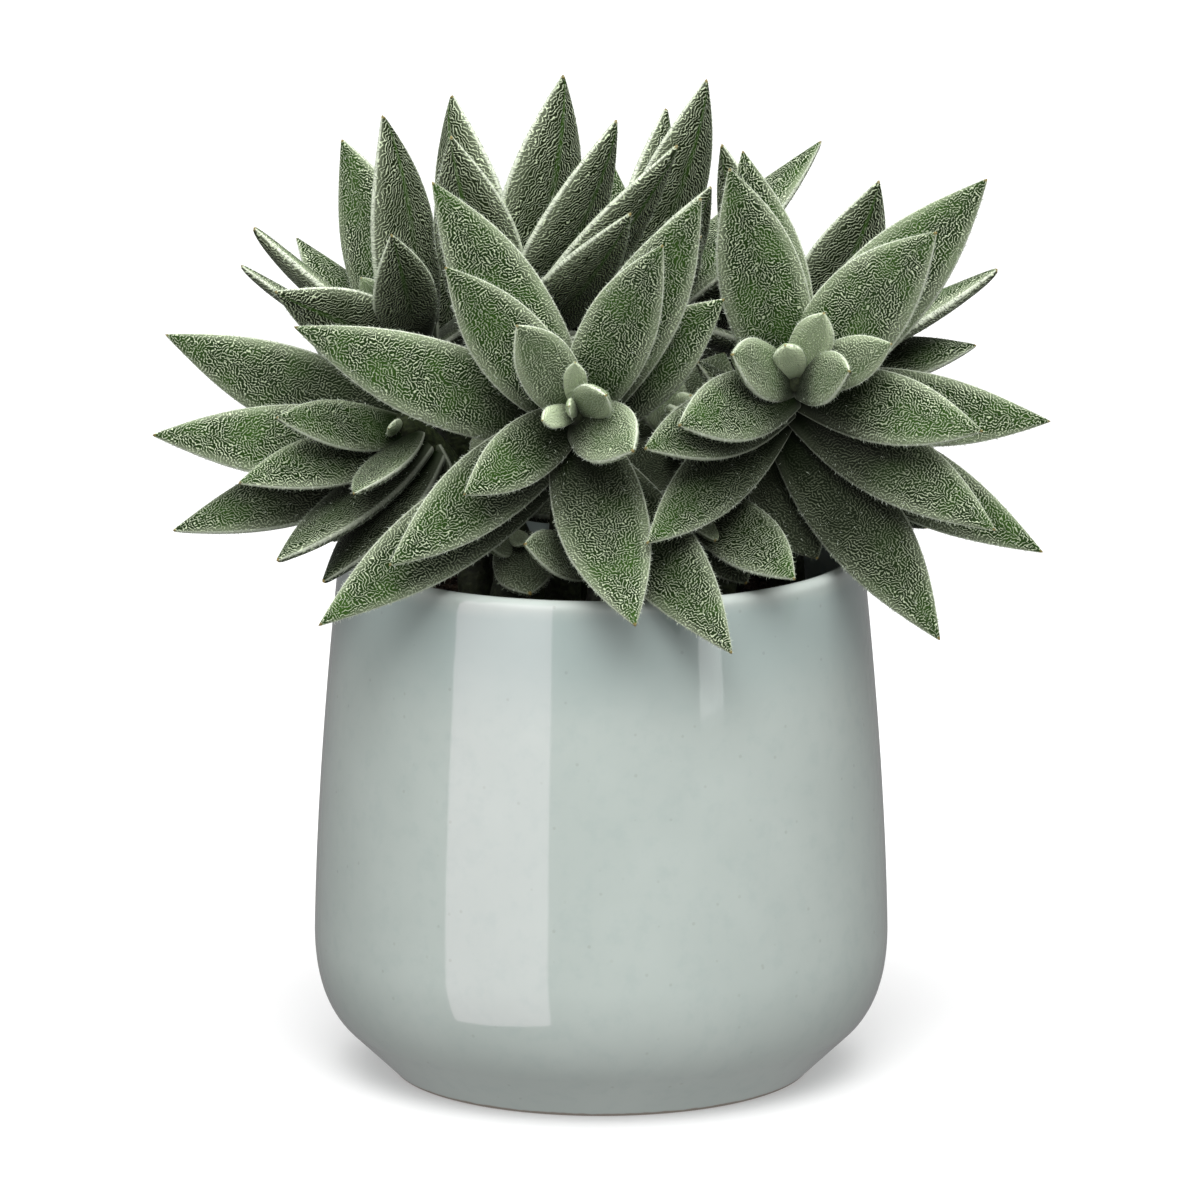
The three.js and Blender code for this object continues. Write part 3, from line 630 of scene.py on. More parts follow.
def skin_faces(rings, sides):
    """Corner numbers of a closed skin: a point, rings, and a point at the other end."""
    quads, fans = [], []
    last = 1 + rings * sides
    for i in range(sides):
        j = (i + 1) % sides
        fans.append((0, 1 + j, 1 + i))
        fans.append((last, last - sides + i, last - sides + j))
        for a in range(1, last - sides, sides):
            quads.append((a + i, a + j, a + sides + j, a + sides + i))
    return np.array(quads), np.array(fans)


points, marks = leaf_points(foliage)
points_on_leaf = points.shape[1]
print("points on all the leaves:", len(points) * points_on_leaf)

# %% [markdown]
# Deep between the others, a leaf lies in their shade, and that shade is painted into its finish: it is
# darker, and its down is thin. How deep a place lies is measured once, from the contact points: each one
# hides some of the sky from those below and behind it, as much as it fills of their view towards the light.

# %% Measure how shaded every place on the leaves is
LIGHT_FROM = unit(np.array([0.0, -0.3, 1.0]))
HIDING = 0.15
NEAREST = 2.0


def shade_along(leaves):
    """From 0 in the open to 1 where nothing but leaves is seen, for each contact point of each leaf."""
    contacts = Contacts(leaves)
    way = contacts.at[None] - contacts.at[:, None]
    distance = np.maximum(np.linalg.norm(way, axis=2), NEAREST)
    facing = np.clip(way @ LIGHT_FROM / distance, 0, 1)
    hidden = facing * (contacts.most / distance) ** 2 * HIDING
    hidden[contacts.leaf[:, None] == contacts.leaf] = 0
    return 1 - np.exp(-hidden.sum(1)).reshape(-1, SAMPLES)


# The shade mark is what the leaves' finish paints as shade.
rows = zip(marks["along"], shade_along(foliage))
marks["shade"] = np.array([np.interp(along, SAMPLED, shade) for along, shade in rows])
print("shade, from the lightest tenth to the darkest:", np.percentile(marks["shade"], [10, 50, 90]).round(2))

# %% [markdown]
# Each shoot becomes one mesh: its leaves, and a stem that they grow from. The marks of where a point lies
# on its leaf are stored on the mesh as attributes, and a flat map in millimetres goes with them, so that
# hairs drawn by the finish keep their true size on every leaf. The underside gets its own stretch of that
# map.

# %% Build a mesh from arrays
def new_mesh(name, vertices, faces, marks=None, corners=None):
    """A smooth mesh. Each mark is an attribute with a number or a vector for each point."""
    mesh = bpy.data.meshes.new(name)
    mesh.from_pydata(vertices.tolist(), [], faces)
    mesh.polygons.foreach_set("use_smooth", np.ones(len(mesh.polygons), bool))
    for key, values in (marks or {}).items():
        kind, field = ("FLOAT", "value") if values.ndim == 1 else ("FLOAT_VECTOR", "vector")
        attribute = mesh.attributes.new(key, kind, "POINT")
        attribute.data.foreach_set(field, values.astype(np.float32).ravel())
    if corners is not None:
        layer = mesh.uv_layers.new(name="leaf_mm")
        layer.uv.foreach_set("vector", corners.astype(np.float32).ravel())
    mesh.update()
    return added(name, mesh)


UNDERSIDE_SHIFT = 60
UNDERSIDE_STRETCH = 1.12
LEAF_SHIFT = np.array([37.3, 91.7])
quads, fans = skin_faces(RINGS, SIDES)


def leaf_map(row):
    """The flat map of one leaf, in millimetres, corner by corner."""
    corners = []
    for faces in (quads, fans):
        under = marks["face"][row][faces].mean(axis=1, keepdims=True) < 0
        side = marks["side_mm"][row][faces] * np.where(under, UNDERSIDE_STRETCH, 1)
        side = side + np.where(under, UNDERSIDE_SHIFT, 0)
        pairs = np.stack([side, marks["along_mm"][row][faces]], axis=-1)
        corners.append((pairs + LEAF_SHIFT * row).reshape(-1, 2))
    return np.concatenate(corners)


print("faces of a leaf:", len(quads) + len(fans))

# %% [markdown]
# The stem is a tube along its line, with faint even rings on it. It stands in its hole in the soil, and its
# head ends inside the youngest leaves.

# %% Draw the skin of a stem
STEM_RINGS, STEM_SIDES = 30, 14
STEM_RIPPLE, RIPPLE_PER_MM = 0.03, 1.6


def stem_points(shoot):
    line = shoot["line"]
    bottom = np.array([*shoot["foot"], SOIL_HEIGHT - HOLE_DEPTH + CLEARANCE])
    path = np.vstack([bottom, line])
    run = distances(path)
    along = np.linspace(0, run[-1], STEM_RINGS)
    middle = walked(path, along)
    forward = unit(np.gradient(middle, axis=0))
    side = unit(np.array([1.0, 0, 0]) - forward * forward[:, :1])
    other = np.cross(forward, side)
    radius = STEM_AT_SOIL + (STEM_AT_HEAD - STEM_AT_SOIL) * ramp(along, run[1], run[-1] - run[1])
    radius = radius * (1 - STEM_RIPPLE + STEM_RIPPLE * np.sin(along * RIPPLE_PER_MM))
    turn = even_turns(STEM_SIDES)[:, None]
    ring = side[:, None] * np.cos(turn) + other[:, None] * np.sin(turn)
    skin = middle[:, None] + ring * radius[:, None, None]
    return np.vstack([bottom, skin.reshape(-1, 3), line[-1] + shoot["axis"] * STEM_AT_HEAD / 2])


stem_quads, stem_fans = skin_faces(STEM_RINGS, STEM_SIDES)
print("faces of a stem:", len(stem_quads) + len(stem_fans))

# %% [markdown]
# Down grows on the whole leaf, thickest along the edges, and thins out towards the root and deep between
# other leaves. How dense it is and which way it points are marks as well. The hairs lean towards the tip
# and fan out from the middle of the leaf. Where a leaf comes close to the box of the packed model, it
# carries no hairs, so that none stands out of it.

# %% Build the shoots
FAN_OUT = 0.6
DOWN_ON_FACE, DOWN_ON_EDGE = 0.35, 2.8
EDGE_FROM, DOWN_FROM, SOFT_START = 0.8, 0.08, 0.2
LOST_IN_SHADE = 0.8
BARE_NEAR_BOX = 1.2
box_low, box_high = (np.array(corner) / MM for corner in cad_box)


def down_marks(rows):
    """How dense the down is, and which way it points, at the points of some leaves."""
    along, across, shade = (marks[key][rows] for key in ("along", "across", "shade"))
    forward, _, sideways = foliage.of(rows).directions(np.clip(along[0], 0, 0.99))
    toward = forward + sideways * (across * FAN_OUT)[..., None]
    edge = ramp(np.abs(across), EDGE_FROM, SOFT_START)
    rooted = ramp(along, DOWN_FROM, SOFT_START)
    room = np.minimum(points[rows] - box_low, box_high - points[rows]).min(axis=-1)
    density = (DOWN_ON_FACE + DOWN_ON_EDGE * edge) * rooted * (1 - LOST_IN_SHADE * shade)
    return density * (room > BARE_NEAR_BOX), unit(toward)


def build_shoot(number, name, shoot):
    rows = np.nonzero(foliage.shoot == number)[0]
    density, toward = down_marks(rows)
    stem = stem_points(shoot)
    on_leaves = len(rows) * points_on_leaf

    def whole(values, on_stem):
        return np.concatenate([values.reshape(on_leaves, *values.shape[2:]), on_stem])

    no_mark = np.zeros(len(stem))
    everywhere = {key: whole(marks[key][rows], no_mark) for key in ("along", "across", "face", "shade")}
    everywhere["youth"] = np.concatenate([np.repeat(foliage.youth[rows], points_on_leaf), no_mark])
    everywhere["density"] = whole(density, no_mark)
    everywhere["toward"] = whole(toward, np.tile([0.0, 0.0, 1.0], (len(stem), 1)))
    faces = []
    for first in range(0, on_leaves, points_on_leaf):
        faces += (quads + first).tolist() + (fans + first).tolist()
    leaf_faces = len(faces)
    faces += (stem_quads + on_leaves).tolist() + (stem_fans + on_leaves).tolist()
    corners = [leaf_map(row) for row in rows] + [np.zeros((stem_quads.size + stem_fans.size, 2))]
    vertices = whole(points[rows], stem) * MM
    thing = new_mesh("leaves_" + name, vertices, faces, everywhere, np.concatenate(corners))
    which = np.zeros(len(faces), np.int32)
    which[leaf_faces:] = 1
    thing.data.polygons.foreach_set("material_index", which)
    return thing


leafy = {name: build_shoot(k, name, shoot) for k, (name, shoot) in enumerate(shoots.items())}
print("faces of all shoots:", sum(len(thing.data.polygons) for thing in leafy.values()))

# %% [markdown]
# ## How node graphs are written
#
# A finish in Blender is a graph of nodes, and so is a rule of Geometry Nodes. Drawn by hand, such a graph
# is quick to try but hard to read later. Two small classes let it be written as sums instead. A `Wire` is a
# value that some node gives, and each operator on it adds a Math node. A `Graph` is the tree that they are
# in, and its `node` method adds any other node.

# %% Write node graphs as expressions
class Wire:
    """A value that a node gives. Operators on it add Math nodes."""

    def __init__(self, graph, socket):
        self.graph = graph
        self.socket = socket

    def __add__(self, other):
        return self.graph.math("ADD", self, other)

    def __radd__(self, other):
        return self.graph.math("ADD", other, self)

    def __sub__(self, other):
        return self.graph.math("SUBTRACT", self, other)

    def __rsub__(self, other):
        return self.graph.math("SUBTRACT", other, self)

    def __mul__(self, other):
        return self.graph.math("MULTIPLY", self, other)

    def __rmul__(self, other):
        return self.graph.math("MULTIPLY", other, self)

    def __truediv__(self, other):
        return self.graph.math("DIVIDE", self, other)

    def __rtruediv__(self, other):
        return self.graph.math("DIVIDE", other, self)

    def __abs__(self):
        return self.graph.math("ABSOLUTE", self)

    def also(self, output):
        """Another value that the same node gives."""
        return Wire(self.graph, self.socket.node.outputs[output])


class Graph:
    """A tree of nodes."""

    def __init__(self, tree):
        self.tree = tree

    def node(self, kind, settings, sockets, output=0):
        node = self.tree.nodes.new(kind)
        for name, value in settings.items():
            setattr(node, name, value)
        for name, value in sockets.items():
            self.feed(node.inputs[name], value)
        return Wire(self, node.outputs[output])

    def feed(self, socket, value):
        if isinstance(value, Wire):
            self.tree.links.new(value.socket, socket)
        else:
            socket.default_value = value

    def math(self, operation, *values):
        return self.node("ShaderNodeMath", {"operation": operation}, dict(enumerate(values)))

    def vector(self, operation, *values):
        return self.node("ShaderNodeVectorMath", {"operation": operation}, dict(enumerate(values)))

    def scaled(self, vector, factor):
        return self.node("ShaderNodeVectorMath", {"operation": "SCALE"}, {0: vector, 3: factor})

    def smooth(self, value, low, high, start=0.0, end=1.0):
        """Goes softly from start to end as the value goes from low to high."""
        sockets = {0: value, 1: low, 2: high, 3: start, 4: end}
        return self.node("ShaderNodeMapRange", {"interpolation_type": "SMOOTHSTEP"}, sockets)

    def blend(self, a, b, factor):
        """A colour between two, which are colours or wires."""
        a, b = (colour if isinstance(colour, Wire) else (*colour, 1.0) for colour in (a, b))
        return self.node("ShaderNodeMix", {"data_type": "RGBA"}, {0: factor, 6: a, 7: b}, 2)

    def covered(self, colour, *coats):
        """A colour with others over it in turn, each with its factor."""
        for coat, factor in coats:
            colour = self.blend(colour, coat, factor)
        return colour

    def noise(self, place, scale, detail=2.0, roughness=0.5):
        sockets = {"Vector": place, "Scale": scale, "Detail": detail, "Roughness": roughness}
        return self.node("ShaderNodeTexNoise", {}, sockets)

    def grains(self, place, scale):
        """How far a point is from the middle of its grain, and a number that each grain has by chance."""
        grain = self.node("ShaderNodeTexVoronoi", {}, {"Vector": place, "Scale": scale})
        return grain, self.node("ShaderNodeSeparateColor", {}, {0: grain.also("Color")})


print("operators of a wire:", [name for name in vars(Wire) if name.startswith("__r")])

# %% [markdown]
# A finish is the graph of one material. It adds what only materials need: the shader that shows a value,
# the place of a point, the marks that the mesh carries, and bumps.

# %% Name the steps that finishes share
class Finish(Graph):
    """One material, with ways to add nodes to it and to feed its shader."""

    def __init__(self, name, **constants):
        self.material = bpy.data.materials.new(name)
        self.material.use_nodes = True
        super().__init__(self.material.node_tree)
        self.shader = self.tree.nodes["Principled BSDF"]
        for socket, value in constants.items():
            self.shader.inputs[socket.replace("_", " ").title()].default_value = value

    def show(self, socket, value):
        self.feed(self.shader.inputs[socket], value)

    def place(self):
        return self.node("ShaderNodeTexCoord", {}, {}, "Object")

    def attribute(self, name):
        return self.node("ShaderNodeAttribute", {"attribute_name": name}, {}, "Fac")

    def bump(self, height, distance, strength=1.0):
        sockets = {"Height": height, "Distance": distance, "Strength": strength}
        return self.node("ShaderNodeBump", {}, sockets)


print("steps that only finishes have:", [name for name in vars(Finish) if not name.startswith("_")])

# %% [markdown]
# ## The finish of the leaves
#
# From a step away the leaves look grey-green and felted. Close up they are dark green under short pale
# hairs that lie on the surface and wind past one another like a labyrinth. All of that down could be mesh,
# but it would take a million hairs, so those that lie flat are drawn by the finish and only those that
# stand up are mesh. One of Blender's textures suits this: it is made of short ripples of one width, which
# run every way where its anisotropy is low and all one way where it is high. Cut off at a level, the
# ripples become hairs.

# %% Draw hairs that lie flat
HAIR_SPACING_MM = 0.62
RIPPLES_PER_PATCH = 2.7
FAN_DEGREES = 38
MEANDER_MM, MEANDERS_PER_MM = 1.6, 0.55
ONE_WAY, ONE_WAY_UNDER = 0.28, 0.35


def flat_hairs(finish, flat, across, under):
    """1 on a hair and 0 between hairs, on the map in millimetres."""
    fan = finish.smooth(across, -0.15, 0.15, -1.0, 1.0) * math.radians(FAN_DEGREES)
    drift = finish.noise(flat, MEANDERS_PER_MM).also("Color")
    drift = finish.vector("SUBTRACT", drift, (0.5, 0.5, 0.5))
    drift = finish.vector("MULTIPLY", drift, (MEANDER_MM, MEANDER_MM, 0))
    short_ripples = {
        "Vector": finish.vector("ADD", flat, drift),
        "Scale": 1 / (HAIR_SPACING_MM * RIPPLES_PER_PATCH),
        "Frequency": RIPPLES_PER_PATCH,
        "Anisotropy": under * ONE_WAY_UNDER + ONE_WAY,
        "Orientation": fan,
    }
    ripples = finish.node("ShaderNodeTexGabor", {"gabor_type": "2D"}, short_ripples, "Phase")
    return finish.smooth(abs(ripples - 0.5), 0.23, 0.05)


print("hairs lie", HAIR_SPACING_MM, "mm apart")

# %% [markdown]
# How densely the down grows depends on the marks that the mesh carries: how far along the leaf a point is,
# how far across, on which face, and how deep in shade. Where the shade mark is high, shade is painted in:
# the leaf turns near-black, and its drawn down, film and edge fade. The drawn down fades a little towards
# the middle of each face as well, a painted shade of the leaf's round form, and a pale film along the edges
# is partly down and partly painted sheen. The same marks place what else a leaf shows: a fresh green root
# with few hairs, a green keel near the tip, a thin pale edge, and the small yellow tip. Leaves near the bud
# are young, and paler, because their down is still closed.

# %% The leaf's green, its down, its edge and its tip
LEAF_DARK = (0.006, 0.016, 0.003)
LEAF_GREEN = (0.034, 0.088, 0.010)
LEAF_YOUNG = (0.16, 0.25, 0.105)
LEAF_UNDER = (0.009, 0.014, 0.004)
# Painted shade: the near-black green of leaves deep among the others.
PAINTED_LEAF_SHADE = (0.003, 0.007, 0.001)
DOWN = (0.68, 0.78, 0.53)
EDGE = (0.80, 0.86, 0.70)
TIP_YELLOW = (0.50, 0.36, 0.10)
SHEEN = (0.82, 0.92, 0.72, 1)
STEM_DARK, STEM_GREEN = (0.009, 0.014, 0.005), (0.028, 0.038, 0.013)


def leaf_finish():
    finish = Finish("downy_leaf", roughness=0.6, sheen_weight=0.30, sheen_roughness=0.28, sheen_tint=SHEEN)
    finish.shader.inputs["Specular IOR Level"].default_value = 0.15
    flat = finish.node("ShaderNodeUVMap", {"uv_map": "leaf_mm"}, {})
    along, across, face = (finish.attribute(name) for name in ("along", "across", "face"))
    youth, shade = finish.attribute("youth"), finish.attribute("shade")
    under = finish.smooth(face, 0.15, -0.25)
    patch = finish.noise(flat, 0.12)

    hairs = flat_hairs(finish, flat, across, under)
    keel = under * finish.smooth(abs(across), 0.13, 0.03) * finish.smooth(along, 0.3, 0.8)
    thin = finish.smooth(patch, 0.66, 0.40, 0.6, 1.0)
    # Painted shade: where other leaves hide the light, the leaf is darkened, and its drawn down, film and
    # edge fade.
    deep = finish.smooth(shade - youth * 0.2, 0.14, 0.60)
    # Partly down and partly painted sheen: a pale band along both edges, broader on young leaves.
    rim = finish.smooth(abs(across) + youth * 0.25, 0.60, 1.0)
    # Painted shade of the round leaf: the drawn down fades towards the middle of each face.
    middle = finish.smooth(abs(across), 0.0, 0.6, 0.3, 0.0)
    grown_and_shaded = finish.smooth(along, 0.06, 0.40) * (1 - keel * 0.7) * (1 - middle)
    down = hairs * thin * grown_and_shaded * (1 - deep * 0.85)
    # Pale film: the closed down of young leaves, and painted sheen along the edges.
    film_and_sheen = youth * 0.40 + finish.smooth(youth, 0.55, 1.0, 0.0, 0.3) + rim * 0.32

    coloured = finish.covered(
        LEAF_DARK,
        (LEAF_GREEN, finish.smooth(patch, 0.36, 0.74, 0.1, 0.8)),
        (LEAF_UNDER, under * 0.85),
        (LEAF_YOUNG, finish.smooth(youth, 0.0, 1.0, 0.0, 0.75)),
        (LEAF_GREEN, finish.smooth(along, 0.25, 0.0, 0.0, 0.8)),
        (LEAF_GREEN, keel * 0.8),
        (PAINTED_LEAF_SHADE, deep),
        (DOWN, film_and_sheen * (1 - deep * 0.85) * (1 - under * 0.55)),
        (DOWN, down),
        (EDGE, finish.smooth(abs(across), 0.95, 0.985, 0.0, 0.85) * (1 - deep * 0.7)),
        (TIP_YELLOW, finish.smooth(along, 0.982, 0.995, 0.0, 0.8)),
    )
    finish.show("Base Color", coloured)
    finish.show("Normal", finish.bump(down, 0.0005))
    return finish.material


def stem_finish():
    finish = Finish("green_stem", roughness=0.7)
    scars = finish.noise(finish.place(), 900, 3.0, 0.6)
    finish.show("Base Color", finish.blend(STEM_DARK, STEM_GREEN, finish.smooth(scars, 0.35, 0.7)))
    finish.show("Normal", finish.bump(scars, 0.0006))
    return finish.material


leaf_material, stem_material = leaf_finish(), stem_finish()
for thing in leafy.values():
    thing.data.materials.append(leaf_material)
    thing.data.materials.append(stem_material)
print("nodes in the leaf's finish:", len(leaf_material.node_tree.nodes))

# %% [markdown]
# ## The down that stands up
#
# Along every edge of the real leaves a pale fringe shows against the dark, made of hairs half a millimetre
# to a millimetre long. Particles or hair curves would be the usual way, but an exported model loses them.
# Geometry Nodes scatter one small needle over the leaves as often as the `density` mark asks, lay it over
# towards the `toward` mark, and make real faces of all of them. Each needle has only four triangles,
# because there are very many.

# %% Start a tree of Geometry Nodes
PER_MM2 = 1e6


class Growth(Graph):
    """A tree of Geometry Nodes with named inputs for its sizes."""

    def __init__(self, name, **inputs):
        super().__init__(bpy.data.node_groups.new(name, "GeometryNodeTree"))
        self.tree.interface.new_socket("Geometry", in_out="OUTPUT", socket_type="NodeSocketGeometry")
        for label, kind in {"Geometry": "Geometry", **inputs, "Material": "Material"}.items():
            label = label.replace("_", " ")
            self.tree.interface.new_socket(label, in_out="INPUT", socket_type="NodeSocket" + kind)
        self.entry = self.tree.nodes.new("NodeGroupInput")
        self.way_out = self.tree.nodes.new("NodeGroupOutput")

    def given(self, label):
        return Wire(self, self.entry.outputs[label])

    def chance(self, low, high, shift=0):
        """For each point a vector, or else a number, between two. Each shift gives other ones."""
        seed = self.given("Seed") + shift if shift else self.given("Seed")
        if isinstance(low, tuple):
            settings, sockets, output = {"data_type": "FLOAT_VECTOR"}, {0: low, 1: high}, 0
        else:
            settings, sockets, output = {"data_type": "FLOAT"}, {2: low, 3: high}, 1
        return self.node("FunctionNodeRandomValue", settings, {**sockets, "Seed": seed}, output)

    def sown(self, per_mm2):
        """Points strewn over the faces of the ground."""
        sockets = {"Mesh": self.given("Geometry"), "Density": per_mm2 * PER_MM2, "Seed": self.given("Seed")}
        return self.node("GeometryNodeDistributePointsOnFaces", {"distribute_method": "RANDOM"}, sockets)

    def end(self, geometry):
        """Real faces, with their material."""
        whole = self.node("GeometryNodeRealizeInstances", {}, {0: geometry})
        painted = {"Geometry": whole, "Material": self.given("Material")}
        self.feed(self.way_out.inputs[0], self.node("GeometryNodeSetMaterial", {}, painted))
        return self

    def end_with(self, points, piece, turn, size):
        """One piece on each point, turned and sized."""
        placed = {"Points": points, "Instance": piece, "Rotation": turn, "Scale": size}
        return self.end(self.node("GeometryNodeInstanceOnPoints", {}, placed))

    def grow(self, name, ground, values):
        """What the tree makes of a thing's mesh, as a plain mesh in a new thing."""
        modifier = ground.modifiers.new("growth", "NODES")
        modifier.node_group = self.tree
        for item in self.tree.interface.items_tree:
            if item.in_out == "INPUT" and item.name in values:
                modifier[item.identifier] = values[item.name]
        evaluated = ground.evaluated_get(bpy.context.evaluated_depsgraph_get())
        mesh = bpy.data.meshes.new_from_object(evaluated)
        ground.modifiers.remove(modifier)
        mesh.name = name
        return added(name, mesh)


print("every tree ends in Realize Instances and Set Material")

# %% Build the rule that grows down
DOWN_SIZES = {
    "Hairs_per_mm2": "Float",
    "Length": "Float",
    "Width": "Float",
    "Standing": "Float",
    "Unevenness": "Float",
    "Seed": "Int",
}
SHORTEST_HAIR, LONGEST_HAIR = 0.5, 1.4


def down_tree():
    tree = Growth("down", **DOWN_SIZES)
    density = tree.node("GeometryNodeInputNamedAttribute", {"data_type": "FLOAT"}, {"Name": "density"})
    toward = tree.node("GeometryNodeInputNamedAttribute", {"data_type": "FLOAT_VECTOR"}, {"Name": "toward"})
    points = tree.sown(density * tree.given("Hairs per mm2"))
    raised = tree.scaled(points.also("Normal"), tree.given("Standing"))
    uneven = tree.scaled(tree.chance((-1, -1, -1), (1, 1, 1)), tree.given("Unevenness"))
    way = tree.vector("ADD", tree.vector("ADD", raised, toward), uneven)
    turn = tree.node("FunctionNodeAlignRotationToVector", {"axis": "Z"}, {"Vector": way})
    needle = {
        "Vertices": 3,
        "Radius Top": 0.0,
        "Radius Bottom": tree.given("Width") / 2,
        "Depth": tree.given("Length"),
    }
    needle = tree.node("GeometryNodeMeshCone", {"fill_type": "NGON"}, needle)
    return tree.end_with(points, needle, turn, tree.chance(SHORTEST_HAIR, LONGEST_HAIR, 1))


down_rule = down_tree()
print("nodes in the rule:", len(down_rule.tree.nodes))

# %% Grow the down on every shoot
NEEDLE_DARK, NEEDLE_PALE = (0.44, 0.52, 0.38), (0.70, 0.76, 0.66)
FIRST_SEED = 11


def down_finish():
    finish = Finish("pale_down", roughness=0.55)
    tint = finish.smooth(finish.noise(finish.place(), 350, 1.0), 0.35, 0.65)
    finish.show("Base Color", finish.blend(NEEDLE_DARK, NEEDLE_PALE, tint))
    return finish.material


DOWN_VALUES = {
    "Hairs per mm2": 0.9,
    "Length": 0.62 * MM,
    "Width": 0.09 * MM,
    "Standing": 0.55,
    "Unevenness": 0.75,
    "Material": down_finish(),
}
downy = {
    name: down_rule.grow("down_" + name, thing, {**DOWN_VALUES, "Seed": FIRST_SEED + number})
    for number, (name, thing) in enumerate(leafy.items())
}
for name in shoots:
    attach(leafy[name], "root")
    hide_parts(name)
    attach(downy[name], "root")
triangles = [len(thing.data.polygons) for thing in downy.values()]
print("hairs:", sum(triangles) // 4, "most triangles in one piece:", max(triangles))

# %% [markdown]
# ## The pot
#
# The pot is thrown or cast stoneware: a flat foot, a straight chamfer, a belly, a wall that leans in
# towards the rim, and a round lip. It could be turned with a Screw or Spin tool. Here Geometry Nodes turn
# it: the section is a line of points, and each column of a grid is that line, turned a little further about
# the axis than the one before. Merging the points that meet closes the seam and both poles.

# %% Draw the pot's section
FOOT_RADIUS, FOOT_ROUND = 44, 0.7
HEEL_RADIUS, HEEL_HEIGHT = 54, 10
POT_FLOOR = 7
INNER_HEEL = HEEL_RADIUS - WALL - 2
BELLY_CORNER = HEEL_HEIGHT * (1 + (WIDEST_RADIUS - HEEL_RADIUS) / (HEEL_RADIUS - FOOT_RADIUS))


def arc(centre, radius, start, end, steps):
    turn = np.radians(np.linspace(start, end, steps + 1))
    return np.array(centre) + radius * np.column_stack([np.cos(turn), np.sin(turn)])


foot = arc((FOOT_RADIUS - FOOT_ROUND, FOOT_ROUND), FOOT_ROUND, -90, -20, 5)
belly = quadratic((HEEL_RADIUS, HEEL_HEIGHT), (WIDEST_RADIUS, BELLY_CORNER), OUTSIDE[0], 16)
wall = quadratic(*OUTSIDE, 14)
lip = arc((RIM_RADIUS - LIP, POT_HEIGHT - LIP), LIP, 0, 180, 12)
inside = quadratic(*INSIDE[::-1], 8)
inner_heel = quadratic(INSIDE[0], (INSIDE[0][0], POT_FLOOR + 4), (INNER_HEEL, POT_FLOOR + 3), 6)
bottom = [(INNER_HEEL - 7, POT_FLOOR), (0, POT_FLOOR)]
section = np.vstack([[(0, 0)], foot, belly, wall[1:], lip[1:], inside[1:], inner_heel[1:], bottom])
print("points in the section:", len(section))

# %% Turn the section with Geometry Nodes
def lathe_tree():
    tree = Growth("lathe", Points="Int", Columns="Int")
    columns, points = tree.given("Columns"), tree.given("Points")
    grid = tree.node("GeometryNodeMeshGrid", {}, {"Vertices X": columns + 1, "Vertices Y": points})
    index = tree.node("GeometryNodeInputIndex", {}, {})
    column = tree.math("FLOOR", (index + 0.5) / points)
    line = {
        "Geometry": tree.given("Geometry"),
        "Value": tree.node("GeometryNodeInputPosition", {}, {}),
        "Index": tree.math("ROUND", index - column * points),
    }
    kind = {"data_type": "FLOAT_VECTOR", "domain": "POINT"}
    point = tree.node("GeometryNodeSampleIndex", kind, line)
    turned = {"Vector": point, "Angle": column * (2 * math.pi) / columns}
    place = tree.node("ShaderNodeVectorRotate", {"rotation_type": "Z_AXIS"}, turned)
    shaped = tree.node("GeometryNodeSetPosition", {}, {"Geometry": grid, "Position": place})
    closed = tree.node("GeometryNodeMergeByDistance", {}, {"Geometry": shaped, "Distance": 0.00001})
    return tree.end(tree.node("GeometryNodeSetShadeSmooth", {}, {"Geometry": closed}))


section_in_space = np.column_stack([section[:, 0], np.zeros(len(section)), section[:, 1]]) * MM
section_line = new_mesh("section", section_in_space, [])
lathe = lathe_tree()
print("nodes in the lathe:", len(lathe.tree.nodes))

# %% [markdown]
# The glaze is a thin celadon: pale grey-green, with a glassy surface over a softly mottled body. Where it
# ran thin over the lip it is paler, and just below the lip it pooled and is darker and bluer. That darker
# band runs further down the wall than the pool, as painted shadow of the leaves above it. Fine dark specks
# of iron show close up. At the very foot the clay is bare, a thin line of warm grey.

# %% Glaze the pot
GLAZE = (0.418, 0.472, 0.443)
# Pooled glaze, and the painted shadow of the leaves on the wall below the lip.
GLAZE_THICK_AND_SHADED = (0.325, 0.395, 0.380)
GLAZE_THIN = (0.56, 0.61, 0.575)
IRON, BARE_CLAY = (0.16, 0.15, 0.11), (0.23, 0.20, 0.165)


